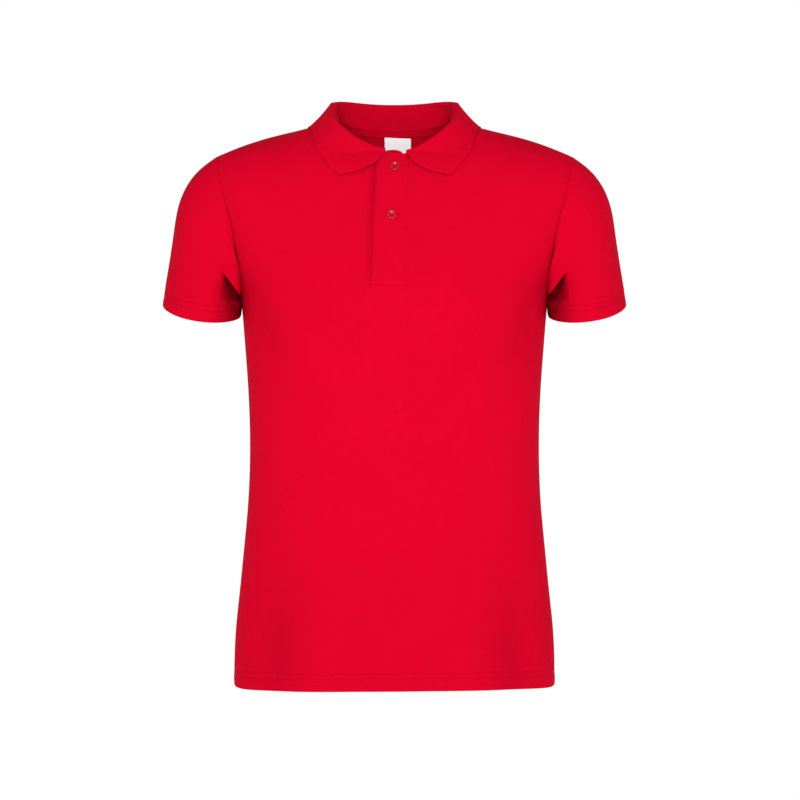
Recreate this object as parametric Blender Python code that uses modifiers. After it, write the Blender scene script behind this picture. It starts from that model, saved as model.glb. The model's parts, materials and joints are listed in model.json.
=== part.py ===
"""Short-sleeved polo shirt, hollow and filled out as if worn. Metres, +Z up, front towards -Y.

The origin lies midway between the two neck points of the shoulder seams, where the wearer carries
the shirt. +X is the wearer's left. Each piece of the pattern is its own object: an open surface lofted
through sections of the worn form, which a Solidify modifier gives its wall.
"""

import math
from collections import namedtuple

import bmesh
import bpy
import numpy as np
from mathutils import Matrix, Vector

# Heights of the cut, from the neck points of the shoulders (z = 0).
HEM = -0.6980
UNDERARM = -0.2141
SHOULDER = -0.0465
PLACKET_HEAD = -0.0505
PLACKET_FOOT = -0.2096
NOTCH_FOOT = -0.2035

# The hem's rise from its level: in the middle, towards the wearer's left, and at the side seams,
# and the height over which the rows above it grow level.
HEM_LIFT = 0.0019
HEM_TILT = 0.0010
CORNER_LIFT = 0.0025
CORNER_REACH = math.radians(10)
HEM_FADE = 0.120

# Walls and gaps.
WALL = 0.0015
BAND_WALL = 0.0027
COLLAR_WALL = 0.0018
PLACKET_WALL = 0.0018
TAPE_WALL = 0.0011
LABEL_WALL = 0.0011
SEAM_GAP = 0.0003
PANEL_GAP = 0.0006
SLEEVE_GAP = 0.0004
TRIM_GAP = 0.0008

# Half depths of the armhole in front of and behind the shoulder seam.
ARMHOLE_FRONT = 0.0550
ARMHOLE_BACK = 0.0570
UNDERARM_POINT = 0.70

# The neckline in the front view.
NECK_HALF = 0.0710
FRONT_DROP = 0.0515
BACK_DROP = 0.0100
NECK_ROUNDNESS = 0.60

# Placket: its right and left edges at the neckline and at its foot, how far it laps the opening, how
# far it stays below the neck seam, and how sharply its upper rows turn to follow that seam.
PLACKET_TOP = (-0.0227, 0.0200)
PLACKET_BASE = (-0.0275, 0.0164)
PLACKET_LAP = 0.0055
NECK_INSET = 0.0001
BAND_TOP = 6

# Buttons: height, and how far each sits from the placket's middle line.
BUTTONS = ((-0.0668, 0.0018), (-0.1258, 0.0000))
BUTTON_RADIUS = 0.0058
BUTTON_DOME = 0.0028
BUTTON_WELL = 0.0009
BUTTON_HOLE = 0.0009
BUTTON_PITCH = 0.0013

# Tape over the back neck seam, and the label that hangs from it, a little askew.
TAPE_HALF = 0.0570
TAPE_TOP = 0.0008
TAPE_HEIGHT = 0.0065
LABEL_LEFT, LABEL_RIGHT = -0.0122, 0.0203
LABEL_DROP = 0.0380
LABEL_TILT = 0.06

FRONT, BACK = -1.0, 1.0
RIGHT, LEFT = -1.0, 1.0

# Facets.
PLACKET_CELLS = 4
NECK_CELLS = 7
SHOULDER_CELLS = 6
YOKE_CELLS = 13
BODY_HEIGHTS = (
    -0.6765,
    -0.6755,
    -0.655,
    -0.630,
    -0.600,
    -0.565,
    -0.525,
    -0.485,
    -0.440,
    -0.395,
    -0.355,
    -0.320,
    -0.288,
    -0.260,
    -0.236,
    -0.2141,
    -0.2105,
)
BAND_ROWS = 2
SLEEVE_AROUND = 40
COLLAR_CELLS = 26
STAND_CELLS = 2
ROLL_CELLS = 5
FALL_CELLS = 6
BAND_HEIGHTS, BAND_COLUMNS = 13, 7
TAPE_COLUMNS = 21
LABEL_CELLS = 7
BUTTON_STEPS = 32
HOLE_SIDES = 10

# Sections of the torso, hem to neck. Below the underarm the half width is the side seam's; above it,
# the edge of the armhole, and above the shoulder point, the shoulder seam.
TorsoSection = namedtuple("TorsoSection", "height half_width front_depth back_depth squareness")
TORSO = [
    TorsoSection(-0.7000, 0.1972, 0.1040, 0.1080, 2.35),
    TorsoSection(-0.6800, 0.1971, 0.1045, 0.1085, 2.35),
    TorsoSection(-0.6310, 0.1953, 0.1060, 0.1095, 2.35),
    TorsoSection(-0.5815, 0.1903, 0.1070, 0.1085, 2.35),
    TorsoSection(-0.5320, 0.1854, 0.1080, 0.1050, 2.35),
    TorsoSection(-0.4830, 0.1808, 0.1085, 0.1000, 2.35),
    TorsoSection(-0.4336, 0.1782, 0.1090, 0.0965, 2.35),
    TorsoSection(-0.3840, 0.1780, 0.1105, 0.0970, 2.35),
    TorsoSection(-0.3350, 0.1799, 0.1130, 0.1000, 2.32),
    TorsoSection(-0.2860, 0.1834, 0.1155, 0.1050, 2.28),
    TorsoSection(-0.2490, 0.1864, 0.1165, 0.1085, 2.22),
    TorsoSection(-0.2141, 0.1893, 0.1160, 0.1105, 2.15),
    TorsoSection(-0.1750, 0.1925, 0.1105, 0.1095, 2.05),
    TorsoSection(-0.1420, 0.1968, 0.1030, 0.1050, 1.98),
    TorsoSection(-0.1100, 0.2046, 0.0945, 0.0985, 1.95),
    TorsoSection(-0.0825, 0.2118, 0.0860, 0.0915, 1.95),
    TorsoSection(-0.0600, 0.2156, 0.0770, 0.0845, 1.98),
    TorsoSection(-0.0465, 0.2155, 0.0705, 0.0800, 2.00),
    TorsoSection(-0.0369, 0.1920, 0.0650, 0.0765, 2.00),
    TorsoSection(-0.0296, 0.1712, 0.0600, 0.0725, 2.00),
    TorsoSection(-0.0222, 0.1448, 0.0545, 0.0675, 2.00),
    TorsoSection(-0.0150, 0.1150, 0.0490, 0.0630, 2.00),
    TorsoSection(-0.0075, 0.0900, 0.0430, 0.0570, 2.00),
    TorsoSection(0.0000, 0.0710, 0.0370, 0.0490, 2.00),
]

# Sleeve: the outer and the inner point of each ring in the front view, half its depth, and how far
# its front hangs lower than its back.
SleeveRing = namedtuple("SleeveRing", "share outer_x outer_z inner_x inner_z half_depth front_low")
SLEEVE = [
    SleeveRing(0.00, 0.2155, -0.0465, 0.1896, -0.2141, 0.0560, 0.0000),
    SleeveRing(0.08, 0.2285, -0.0548, 0.1894, -0.2165, 0.0572, 0.0002),
    SleeveRing(0.18, 0.2440, -0.0683, 0.1892, -0.2195, 0.0585, 0.0005),
    SleeveRing(0.32, 0.2588, -0.0900, 0.1888, -0.2242, 0.0596, 0.0016),
    SleeveRing(0.48, 0.2680, -0.1170, 0.1884, -0.2295, 0.0602, 0.0040),
    SleeveRing(0.64, 0.2727, -0.1480, 0.1880, -0.2352, 0.0600, 0.0068),
    SleeveRing(0.80, 0.2780, -0.1830, 0.1876, -0.2406, 0.0592, 0.0094),
    SleeveRing(0.90, 0.2817, -0.2055, 0.1873, -0.2437, 0.0586, 0.0110),
    SleeveRing(1.00, 0.2852, -0.2285, 0.1871, -0.2465, 0.0580, 0.0126),
]
SLEEVE_SHARES = (0.0, 0.04, 0.10, 0.18, 0.27, 0.37, 0.48, 0.59, 0.70, 0.80, 0.886, 0.891, 0.945, 1.0)

# Collar: one knitted strip from the right front end (share -1) round the back (0) to the left front
# end (1). Rise and lean carry the roll above and outside the neckline; the outer edge of the fall
# lies on the torso at edge_x, edge_y of the plan; bow draws the middle of the fall in towards the
# neck, and hook draws it in towards the placket.
CollarStation = namedtuple("CollarStation", "share rise lean roll edge_x edge_y bow hook")
COLLAR = [
    CollarStation(0.000, 0.0298, -0.0010, 0.0033, 0.0000, 0.0680, 0.0010, 0.0000),
    CollarStation(0.150, 0.0292, -0.0005, 0.0033, 0.0400, 0.0645, 0.0012, 0.0000),
    CollarStation(0.270, 0.0272, 0.0000, 0.0033, 0.0730, 0.0545, 0.0018, 0.0000),
    CollarStation(0.360, 0.0232, 0.0006, 0.0033, 0.0952, 0.0385, 0.0028, 0.0000),
    CollarStation(0.420, 0.0196, 0.0010, 0.0033, 0.1038, 0.0210, 0.0036, 0.0000),
    CollarStation(0.455, 0.0173, 0.0012, 0.0033, 0.1058, 0.0055, 0.0040, 0.0000),
    CollarStation(0.500, 0.0146, 0.0014, 0.0032, 0.1042, -0.0155, 0.0038, 0.0000),
    CollarStation(0.550, 0.0124, 0.0018, 0.0031, 0.1008, -0.0335, 0.0032, 0.0000),
    CollarStation(0.620, 0.0104, 0.0020, 0.0030, 0.0968, -0.0500, 0.0020, 0.0000),
    CollarStation(0.750, 0.0080, 0.0018, 0.0028, 0.0903, -0.0645, 0.0004, 0.0018),
    CollarStation(0.880, 0.0068, 0.0012, 0.0027, 0.0793, -0.0733, 0.0000, 0.0045),
    CollarStation(0.950, 0.0062, 0.0006, 0.0025, 0.0721, -0.0776, 0.0000, 0.0064),
    CollarStation(1.000, 0.0058, 0.0000, 0.0024, 0.0656, -0.0804, 0.0000, 0.0084),
]
SHOULDER_SHARE = 0.455
COLLAR_END = {RIGHT: 0.0115, LEFT: 0.0150}
ROLL_TURN = math.radians(165)

# The collar's foot stands inside and above the neck seam. The fall stays clear of the torso, and by
# more within reach of the placket; its bow draws it in and down by these parts.
FOOT_IN, FOOT_UP = 0.0013, 0.0011
FALL_CLEARANCE = 0.0017
PLACKET_CLEARANCE = 0.0022
PLACKET_REACH, PLACKET_FADE = 0.030, 0.014
BOW_IN, BOW_DOWN = 0.6, 0.8
HOOK_IN, HOOK_DOWN = 0.6, 0.8

# Folds of the worn cloth on the torso, placed in the front view. Height above the cloth is positive;
# angle turns the fold's length from upright, leaning out at the top towards +X.
Fold = namedtuple("Fold", "name side x z half_length half_width angle height")
FOLDS = [
    Fold("right_armhole_trough", FRONT, -0.163, -0.246, 0.048, 0.0150, -24.0, -0.0045),
    Fold("left_armhole_trough", FRONT, 0.163, -0.243, 0.048, 0.0150, 24.0, -0.0045),
    Fold("right_hem_hollow", FRONT, -0.138, -0.610, 0.060, 0.0170, 4.0, -0.0040),
    Fold("left_hem_hollow", FRONT, 0.134, -0.610, 0.060, 0.0170, -4.0, -0.0040),
    Fold("right_hem_flare", FRONT, -0.098, -0.650, 0.060, 0.0210, 5.0, 0.0030),
    Fold("left_hem_flare", FRONT, 0.092, -0.650, 0.060, 0.0210, -5.0, 0.0030),
    Fold("placket_side_trough", FRONT, -0.0335, -0.1480, 0.055, 0.0040, -2.5, -0.0012),
    Fold("back_right_blade", BACK, -0.105, -0.230, 0.070, 0.0200, -14.0, -0.0035),
    Fold("back_left_blade", BACK, 0.105, -0.230, 0.070, 0.0200, 14.0, -0.0035),
    Fold("back_right_drape", BACK, -0.100, -0.520, 0.110, 0.0220, 4.0, 0.0040),
    Fold("back_left_drape", BACK, 0.096, -0.530, 0.110, 0.0220, -4.0, 0.0040),
    Fold("back_waist_hollow", BACK, 0.000, -0.420, 0.080, 0.0300, 0.0, -0.0030),
    Fold("right_side_break", BACK, -0.150, -0.400, 0.040, 0.0140, 60.0, -0.0025),
    Fold("left_side_break", BACK, 0.150, -0.392, 0.040, 0.0140, -60.0, -0.0025),
]

# Folds of the sleeves, by share of the length and angle round (0 on top, 90 in front).
SleeveFold = namedtuple("SleeveFold", "name share turn half_share half_turn skew height")
SLEEVE_FOLDS = [
    SleeveFold("underarm_front", 0.62, 142.0, 0.34, 15.0, 26.0, -0.0080),
    SleeveFold("underarm_back", 0.60, 222.0, 0.34, 15.0, -26.0, -0.0050),
    SleeveFold("front_hollow", 0.50, 84.0, 0.30, 17.0, -22.0, -0.0020),
    SleeveFold("back_hollow", 0.45, 285.0, 0.30, 17.0, 22.0, -0.0020),
]

# Colour, roughness and metallic of each finish.
Finish = namedtuple("Finish", "colour roughness metallic")
PIQUE = Finish((0.80, 0.001, 0.020), 0.88, 0.0)
COLLAR_KNIT = Finish((0.78, 0.001, 0.020), 0.88, 0.0)
JERSEY = Finish((0.76, 0.001, 0.020), 0.90, 0.0)
SATIN = Finish((0.90, 0.90, 0.88), 0.55, 0.0)
POLYESTER = Finish((0.70, 0.002, 0.020), 0.25, 0.0)


def spline(rows, key, value):
    """Smooth curve through one column of a table, straight beyond both ends."""
    x = np.array([getattr(row, key) for row in rows], dtype=float)
    y = np.array([getattr(row, value) for row in rows], dtype=float)
    count, step = len(x), np.diff(x)
    matrix, right = np.eye(count), np.zeros(count)
    for i in range(1, count - 1):
        matrix[i, i - 1 : i + 2] = step[i - 1], 2 * (step[i - 1] + step[i]), step[i]
        right[i] = 6 * ((y[i + 1] - y[i]) / step[i] - (y[i] - y[i - 1]) / step[i - 1])
    bend = np.linalg.solve(matrix, right)

    def value_at(at):
        at = np.asarray(at, dtype=float)
        inside = np.clip(at, x[0], x[-1])
        i = np.clip(np.searchsorted(x, inside) - 1, 0, count - 2)
        a, b = x[i + 1] - inside, inside - x[i]
        h = step[i]
        cubic = (bend[i] * a**3 + bend[i + 1] * b**3) / (6 * h)
        line = (y[i] / h - bend[i] * h / 6) * a + (y[i + 1] / h - bend[i + 1] * h / 6) * b
        slope_low = (y[1] - y[0]) / step[0]
        slope_high = (y[-1] - y[-2]) / step[-1]
        beyond = np.where(at < x[0], slope_low, slope_high) * (at - inside)
        return cubic + line + beyond

    return value_at


BELOW = [row for row in TORSO if row.height <= SHOULDER + 1e-9]
ABOVE = [row for row in TORSO if row.height >= SHOULDER - 1e-9]
edge_below = spline(BELOW, "height", "half_width")
edge_above = spline(ABOVE, "height", "half_width")
front_depth = spline(TORSO, "height", "front_depth")
back_depth = spline(TORSO, "height", "back_depth")
squareness = spline(TORSO, "height", "squareness")


def ridge_height(x):
    """Height of the shoulder seam at a distance from the middle."""
    heights = np.linspace(SHOULDER, 0.0, 200)
    return np.interp(-np.abs(x), -edge_above(heights), heights)


def edge_half(z):
    """Distance from the middle to the side seam, the armhole or the shoulder seam at a height."""
    z = np.asarray(z, dtype=float)
    return np.where(z < SHOULDER, edge_below(z), edge_above(np.maximum(z, SHOULDER)))


def armhole_depth(side, z):
    """Distance of the armhole's edge from the plane of the shoulder seams."""
    middle, half = (UNDERARM + SHOULDER) / 2, (SHOULDER - UNDERARM) / 2
    share = np.clip((np.asarray(z, dtype=float) - middle) / half, -1, 1)
    deep = ARMHOLE_FRONT if side == FRONT else ARMHOLE_BACK
    return deep * (1 - share**2) ** np.where(share < 0, UNDERARM_POINT, 0.5)


def section(side, z):
    """Half width, depth and squareness of the torso's section at a height."""
    z = np.minimum(np.asarray(z, dtype=float), 0.0)
    deep = front_depth(z) if side == FRONT else back_depth(z)
    power = squareness(z)
    share = np.clip(armhole_depth(side, z) / deep, 0, 0.95)
    wide = edge_half(z) / (1 - share**power) ** (1 / power)
    return wide, deep, power


def fold_height(side, x, z):
    """Height of the folds over the plain torso."""
    total = np.zeros(np.broadcast(x, z).shape)
    for fold in FOLDS:
        if fold.side != side:
            continue
        turn = math.radians(fold.angle)
        along = (x - fold.x) * math.sin(turn) + (z - fold.z) * math.cos(turn)
        across = (x - fold.x) * math.cos(turn) - (z - fold.z) * math.sin(turn)
        total = total + fold.height * np.exp(
            -((along / fold.half_length) ** 2) - (across / fold.half_width) ** 2
        )
    return total


def plain_depth(side, x, z):
    """Distance of the plain torso from the plane of the shoulder seams."""
    wide, deep, power = section(side, z)
    share = np.clip(np.abs(x) / wide, 0, 1)
    return deep * np.maximum(1 - share**power, 0) ** (1 / power)


def torso_normal(side, x, y, z):
    """Outward directions of the plain torso."""
    wide, deep, power = section(side, z)
    share_x = np.clip(np.abs(x) / wide, 1e-6, 1)
    share_y = np.clip(np.abs(y) / deep, 1e-6, 1)
    step = 0.0008
    fields = []
    for shift in (-step, step):
        wide_s, deep_s, power_s = section(side, z + shift)
        fields.append((np.abs(x) / wide_s) ** power_s + (np.abs(y) / deep_s) ** power_s)
    normal = np.stack(
        [
            np.sign(x) * power * share_x ** (power - 1) / wide,
            side * power * share_y ** (power - 1) / deep,
            (fields[1] - fields[0]) / (2 * step),
        ],
        axis=-1,
    )
    return normal / np.linalg.norm(normal, axis=-1, keepdims=True)


def torso(side, x, z, out=0.0):
    """Point of the worn torso over a place of the front view, moved out along its normal."""
    x, z = np.broadcast_arrays(np.asarray(x, dtype=float), np.asarray(z, dtype=float))
    depth = plain_depth(side, x, z)
    normal = torso_normal(side, x, depth * side, z)
    y = side * np.maximum(depth, PANEL_GAP / 2)
    base = np.stack([x, y, z], axis=-1)
    rise = fold_height(side, x, z) * np.clip((depth - 0.004) / 0.03, 0, 1)
    return base + normal * (rise + out)[..., None], normal


def neckline(side, x):
    """Height of the neck seam in the front view."""
    drop = FRONT_DROP if side == FRONT else BACK_DROP
    share = np.clip(np.abs(x) / NECK_HALF, 0, 1)
    return -drop * (1 - share**2) ** NECK_ROUNDNESS


def placket_edge(index, z):
    """Place of the placket's right (0) or left (1) edge at a height; both lean a little."""
    share = (z - PLACKET_FOOT) / (PLACKET_HEAD - PLACKET_FOOT)
    return PLACKET_BASE[index] + (PLACKET_TOP[index] - PLACKET_BASE[index]) * share


def notch_edge(index, z):
    """Edge of the opening in the front, which the placket laps."""
    return placket_edge(index, z) + (PLACKET_LAP if index == 0 else -PLACKET_LAP)


def hem_lift(angle, height):
    """Rise of a level row at an angle round from the middle, near the hem."""
    corner = np.exp(-(((math.pi / 2 - np.abs(angle)) / CORNER_REACH) ** 2))
    lift = HEM_LIFT * np.cos(angle) ** 2 + HEM_TILT * np.sin(2 * angle) + CORNER_LIFT * corner
    return lift * max(0.0, 1 - (height - HEM) / HEM_FADE)


def panel_columns(side):
    """Where the columns of a panel cross the notch's foot (as shares of the angle round) and the
    upper edge (as x)."""
    foot = NOTCH_FOOT
    wide, _deep, power = section(side, foot)
    edge = math.asin(min(1.0, float(edge_half(foot) / wide)) ** (float(power) / 2))
    inner = (notch_edge(0, foot), notch_edge(1, foot))
    tops = (notch_edge(0, -FRONT_DROP), notch_edge(1, -FRONT_DROP))
    shares, top_x = [], []
    for j in range(PLACKET_CELLS + 1):
        x = inner[0] + (inner[1] - inner[0]) * j / PLACKET_CELLS
        shares.append(math.copysign(math.asin(abs(x / float(wide)) ** (float(power) / 2)), x) / edge)
        top_x.append(tops[0] + (tops[1] - tops[0]) * j / PLACKET_CELLS)
    for direction, k in ((LEFT, -1), (RIGHT, 0)):
        start_share, start_x = abs(shares[k]), abs(top_x[k])
        more_share, more_x = [], []
        cells = NECK_CELLS + SHOULDER_CELLS
        for j in range(1, cells + 1):
            more_share.append(direction * (start_share + (1 - start_share) * j / cells))
            if j <= NECK_CELLS:
                first = math.asin(start_x / NECK_HALF)
                x = NECK_HALF * math.sin(first + (math.pi / 2 - first) * j / NECK_CELLS)
            else:
                last = float(edge_half(SHOULDER))
                x = NECK_HALF + (last - NECK_HALF) * (j - NECK_CELLS) / SHOULDER_CELLS
            more_x.append(direction * x)
        if direction == LEFT:
            shares, top_x = shares + more_share, top_x + more_x
        else:
            shares, top_x = more_share[::-1] + shares, more_x[::-1] + top_x
    return np.array(shares), np.array(top_x)


def panel_places(side):
    """The panel's grid in the front view: rows from the hem to the neckline and shoulder seams."""
    shares, top_x = panel_columns(side)
    rows_x, rows_z = [], []
    for height in (HEM,) + BODY_HEIGHTS + (NOTCH_FOOT,):
        wide, _deep, power = section(side, height)
        edge = np.arcsin(np.clip(edge_half(height) / wide, 0, 1) ** (power / 2))
        angle = shares * edge
        rows_x.append(wide * np.sign(angle) * np.abs(np.sin(angle)) ** (2 / power))
        rows_z.append(height + hem_lift(angle, height))
    foot_x, foot_z = rows_x[-1], rows_z[-1]
    over_shoulder = np.abs(top_x) > NECK_HALF
    top_z = np.where(over_shoulder, ridge_height(top_x), neckline(side, top_x))
    top_z[np.isclose(np.abs(top_x), NECK_HALF)] = 0.0
    top_z[[0, -1]] = SHOULDER
    start = abs(shares[NECK_CELLS + SHOULDER_CELLS])
    outwards = np.clip((np.abs(shares) - start) / (1 - start), 0, 1) ** 2
    for k in range(1, YOKE_CELLS + 1):
        up = math.sin(k / YOKE_CELLS * math.pi / 2)
        z = foot_z + (top_z - foot_z) * up
        x = foot_x + (top_x - foot_x) * up
        plain = abs(foot_x[0]) + (abs(top_x[0]) - abs(foot_x[0])) * up
        x = x + np.sign(x) * outwards * (edge_half(z[0]) - plain)
        rows_x.append(x)
        rows_z.append(z)
    return np.array(rows_x), np.array(rows_z)


def material(name, finish):
    """A Principled material with a finish's colour, roughness and metallic."""
    made = bpy.data.materials.new(name)
    made.use_nodes = True
    shader = made.node_tree.nodes["Principled BSDF"]
    shader.inputs["Base Color"].default_value = (*finish.colour, 1.0)
    shader.inputs["Roughness"].default_value = finish.roughness
    shader.inputs["Metallic"].default_value = finish.metallic
    return made


def cloth(name, points, finish, wall, offset=-1.0, flip=False, closed=False, skip=None, band=()):
    """A piece of cloth: an open surface through a grid of points, with its wall from Solidify.

    The wall goes inward (offset -1), outward (1) or to both sides (0). A closed grid's columns join
    round. Skipped cells are cut away, and the rows of the band have the wall of a turned hem.
    """
    rows, columns = points.shape[:2]
    bm = bmesh.new()
    corners = {}

    def corner(r, c):
        key = (r, c % columns)
        if key not in corners:
            corners[key] = bm.verts.new(points[key])
        return corners[key]

    for r in range(rows - 1):
        for c in range(columns if closed else columns - 1):
            if skip is None or not skip(r, c):
                loop = [corner(r, c), corner(r, c + 1), corner(r + 1, c + 1), corner(r + 1, c)]
                bm.faces.new(loop[::-1] if flip else loop).smooth = True
    bm.verts.index_update()
    doubled = [vert.index for (r, _c), vert in corners.items() if r in band]
    single = [vert.index for (r, _c), vert in corners.items() if r not in band]
    mesh = bpy.data.meshes.new(name)
    bm.to_mesh(mesh)
    bm.free()
    mesh.materials.append(material(f"{name}_cloth", finish))
    piece = bpy.data.objects.new(name, mesh)
    SHIRT.objects.link(piece)
    solid = piece.modifiers.new("wall", "SOLIDIFY")
    solid.thickness, solid.offset = wall, offset
    if doubled:
        turned = piece.vertex_groups.new(name="turned_hem")
        turned.add(doubled, 1.0, "REPLACE")
        turned.add(single, wall / BAND_WALL, "REPLACE")
        solid.thickness, solid.vertex_group = BAND_WALL, turned.name
    return piece


def grid_normals(points):
    """Outward normals of a tube of points, from its own rings and columns."""
    along = np.gradient(points, axis=0)
    across = np.roll(points, -1, axis=1) - np.roll(points, 1, axis=1)
    normal = np.cross(across, along)
    return normal / np.linalg.norm(normal, axis=-1, keepdims=True)


def build_panel(name, side):
    """The front or back panel, with the opening for the placket cut out of the front."""
    x, z = panel_places(side)
    points, _normal = torso(side, x, z)
    foot_row, first = len(BODY_HEIGHTS) + 1, NECK_CELLS + SHOULDER_CELLS

    def notch(r, c):
        return side == FRONT and r >= foot_row and first <= c < first + PLACKET_CELLS

    cloth(name, points, PIQUE, WALL, flip=side == BACK, skip=notch, band=range(BAND_ROWS))


def sleeve_points(hand, shares, turns):
    """Points of a sleeve's outer face: rings that start on the armhole and end at the cuff."""
    columns = {key: spline(SLEEVE, "share", key) for key in SleeveRing._fields[1:]}
    turn, share = np.meshgrid(turns, shares)
    mid_z, half_z = (UNDERARM + SHOULDER) / 2, (SHOULDER - UNDERARM) / 2
    start_z = mid_z + half_z * np.cos(turn)
    swing = np.abs(np.sin(turn)) ** np.where(np.cos(turn) < 0, 2 * UNDERARM_POINT, 1.0)
    deep = np.where(np.sin(turn) > 0, ARMHOLE_FRONT, ARMHOLE_BACK)
    start_y = -np.sign(np.sin(turn)) * swing * deep
    start = np.stack([edge_half(np.clip(start_z, UNDERARM, SHOULDER - 1e-9)), start_y, start_z], -1)

    def ring(at):
        out_x, out_z = columns["outer_x"](at), columns["outer_z"](at)
        in_x, in_z = columns["inner_x"](at), columns["inner_z"](at)
        x = (out_x + in_x) / 2 + (out_x - in_x) / 2 * np.cos(turn)
        z = (out_z + in_z) / 2 + (out_z - in_z) / 2 * np.cos(turn)
        z = z - columns["front_low"](at) * np.sin(turn) * np.where(np.sin(turn) > 0, 1.0, 0.4)
        return np.stack([x, -np.sin(turn) * columns["half_depth"](at), z], -1)

    fade = ((1 - np.clip(share / 0.75, 0, 1)) ** 2)[..., None]
    points = ring(share) + (start - ring(np.zeros_like(share))) * fade
    points[..., 0] += SLEEVE_GAP
    fold = np.zeros(share.shape)
    for row in SLEEVE_FOLDS:
        off = np.degrees(turn) - row.turn - row.skew * (share - row.share) / row.half_share
        off = (off + 180) % 360 - 180
        fold = fold + row.height * np.exp(
            -((off / row.half_turn) ** 2) - ((share - row.share) / row.half_share) ** 2
        )
    fold = fold * np.clip(share / 0.2, 0, 1) ** 1.5
    points = points + grid_normals(points) * fold[..., None]
    points[..., 0] *= hand
    return points


def build_sleeve(name, hand):
    """A sleeve, with its cuff turned to the inside."""
    turns = np.arange(SLEEVE_AROUND) / SLEEVE_AROUND * 2 * math.pi
    rings = len(SLEEVE_SHARES)
    band = range(rings - BAND_ROWS - 1, rings)
    points = sleeve_points(hand, np.array(SLEEVE_SHARES), turns)
    cloth(name, points, PIQUE, WALL, flip=hand == RIGHT, closed=True, band=band)


def clear_torso(points, clearance):
    """Moves points out until they stand clear of the torso."""
    points = points.copy()
    for _ in range(6):
        x, y, z = points[..., 0], points[..., 1], points[..., 2]
        for side in (FRONT, BACK):
            mine = (y * side >= 0) & (z < -0.0005)
            wide, deep, power = section(side, z)
            field = ((np.abs(x) / wide) ** power + (np.abs(y) / deep) ** power) ** (1 / power)
            scale = np.maximum(field, 1e-3)
            ahead = []
            step = 1e-4
            for axis in range(3):
                moved = points.copy()
                moved[..., axis] += step
                w, d, p = section(side, moved[..., 2])
                other = (np.abs(moved[..., 0]) / w) ** p + (np.abs(moved[..., 1]) / d) ** p
                ahead.append((other ** (1 / p) - scale) / step)
            slope = np.stack(ahead, -1)
            size = np.maximum(np.linalg.norm(slope, axis=-1), 1e-6)
            distance = (field - 1) / size
            short = np.where(mine, np.maximum(clearance - distance, 0), 0)
            points = points + slope / size[..., None] * short[..., None]
    return points


def height_over(x, y):
    """Height of the torso over a place of the plan, near the neck and shoulders."""
    heights = np.linspace(-0.13, 0.0, 400)
    wide, deep, power = section(FRONT if y < 0 else BACK, heights)
    field = (abs(x) / wide) ** power + (abs(y) / deep) ** power
    return float(np.interp(1.0, field, heights))


def neck_point(share):
    """Place on the neckline at a share round: point and level direction out from the neck."""
    size, hand = abs(share), math.copysign(1.0, share)
    if size <= SHOULDER_SHARE:
        side = BACK
        angle = size / SHOULDER_SHARE * math.pi / 2
    else:
        side = FRONT
        last = math.asin(COLLAR_END[LEFT if hand > 0 else RIGHT] / NECK_HALF)
        angle = math.pi / 2 - (size - SHOULDER_SHARE) / (1 - SHOULDER_SHARE) * (math.pi / 2 - last)
    x = hand * NECK_HALF * math.sin(angle)
    z = float(neckline(side, x))
    y = side * float(plain_depth(side, x, z))
    return np.array([x, y, z])


def collar_points(shares):
    """Centre surface of the collar: a row for each station, from the neck seam to the outer edge."""
    columns = {key: spline(COLLAR, "share", key) for key in CollarStation._fields[1:]}
    rows = []
    for share in shares:
        size, hand = abs(share), math.copysign(1.0, share)
        here = neck_point(share)
        ahead, behind = neck_point(min(share + 0.02, 1.0)), neck_point(max(share - 0.02, -1.0))
        tangent = ahead - behind
        out = np.array([-tangent[1], tangent[0], 0.0])
        out /= np.linalg.norm(out)
        if out[0] * here[0] + out[1] * here[1] < 0:
            out = -out
        up = np.array([0.0, 0.0, 1.0])
        value = {key: float(track(size)) for key, track in columns.items()}
        roll = value["roll"]
        foot = here - out * FOOT_IN + up * FOOT_UP
        neck = foot + up * (value["rise"] - roll) + out * value["lean"]
        path = [foot + (neck - foot) * k / STAND_CELLS for k in range(STAND_CELLS)]
        centre = neck + out * roll
        for k in range(ROLL_CELLS + 1):
            turn = ROLL_TURN * k / ROLL_CELLS
            path.append(centre - out * roll * math.cos(turn) + up * roll * math.sin(turn))
        edge = np.array([hand * value["edge_x"], value["edge_y"], 0.0])
        edge[2] = height_over(edge[0], edge[1])
        start = path[-1]
        for k in range(1, FALL_CELLS + 1):
            f = k / FALL_CELLS
            point = start + (edge - start) * f
            middle = 4 * f * (1 - f)
            point = point - (out * BOW_IN + up * BOW_DOWN) * value["bow"] * middle
            point = point + np.array([-hand * HOOK_IN, 0.0, -HOOK_DOWN]) * value["hook"] * middle
            near = 1 - np.clip((abs(point[0]) - PLACKET_REACH) / PLACKET_FADE, 0, 1)
            point = clear_torso(point[None], FALL_CLEARANCE + PLACKET_CLEARANCE * near)[0]
            path.append(point)
        rows.append(path)
    return np.array(rows)


def build_collar(name):
    """The collar, its wall to both sides of its centre surface."""
    half = [k / COLLAR_CELLS for k in range(COLLAR_CELLS + 1)]
    shares = [-s for s in reversed(half[1:])] + half
    cloth(name, collar_points(shares), COLLAR_KNIT, COLLAR_WALL, offset=0.0)


def band_points(edge, foot, inset, out):
    """Grid of points on the front between the two lines of an edge function, up to the neck seam."""
    rows = []
    for height in np.linspace(foot, PLACKET_HEAD, BAND_HEIGHTS):
        rows.append(np.linspace(edge(0, height) + inset, edge(1, height) - inset, BAND_COLUMNS))
    x = np.array(rows)
    z = np.repeat(np.linspace(foot, PLACKET_HEAD, BAND_HEIGHTS)[:, None], BAND_COLUMNS, axis=1)
    share = np.clip((z - PLACKET_FOOT) / (PLACKET_HEAD - PLACKET_FOOT), 0, 1)
    z = z + (neckline(FRONT, x) - NECK_INSET - z[-1:]) * share**BAND_TOP
    return torso(FRONT, x, z, out)[0]


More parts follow.
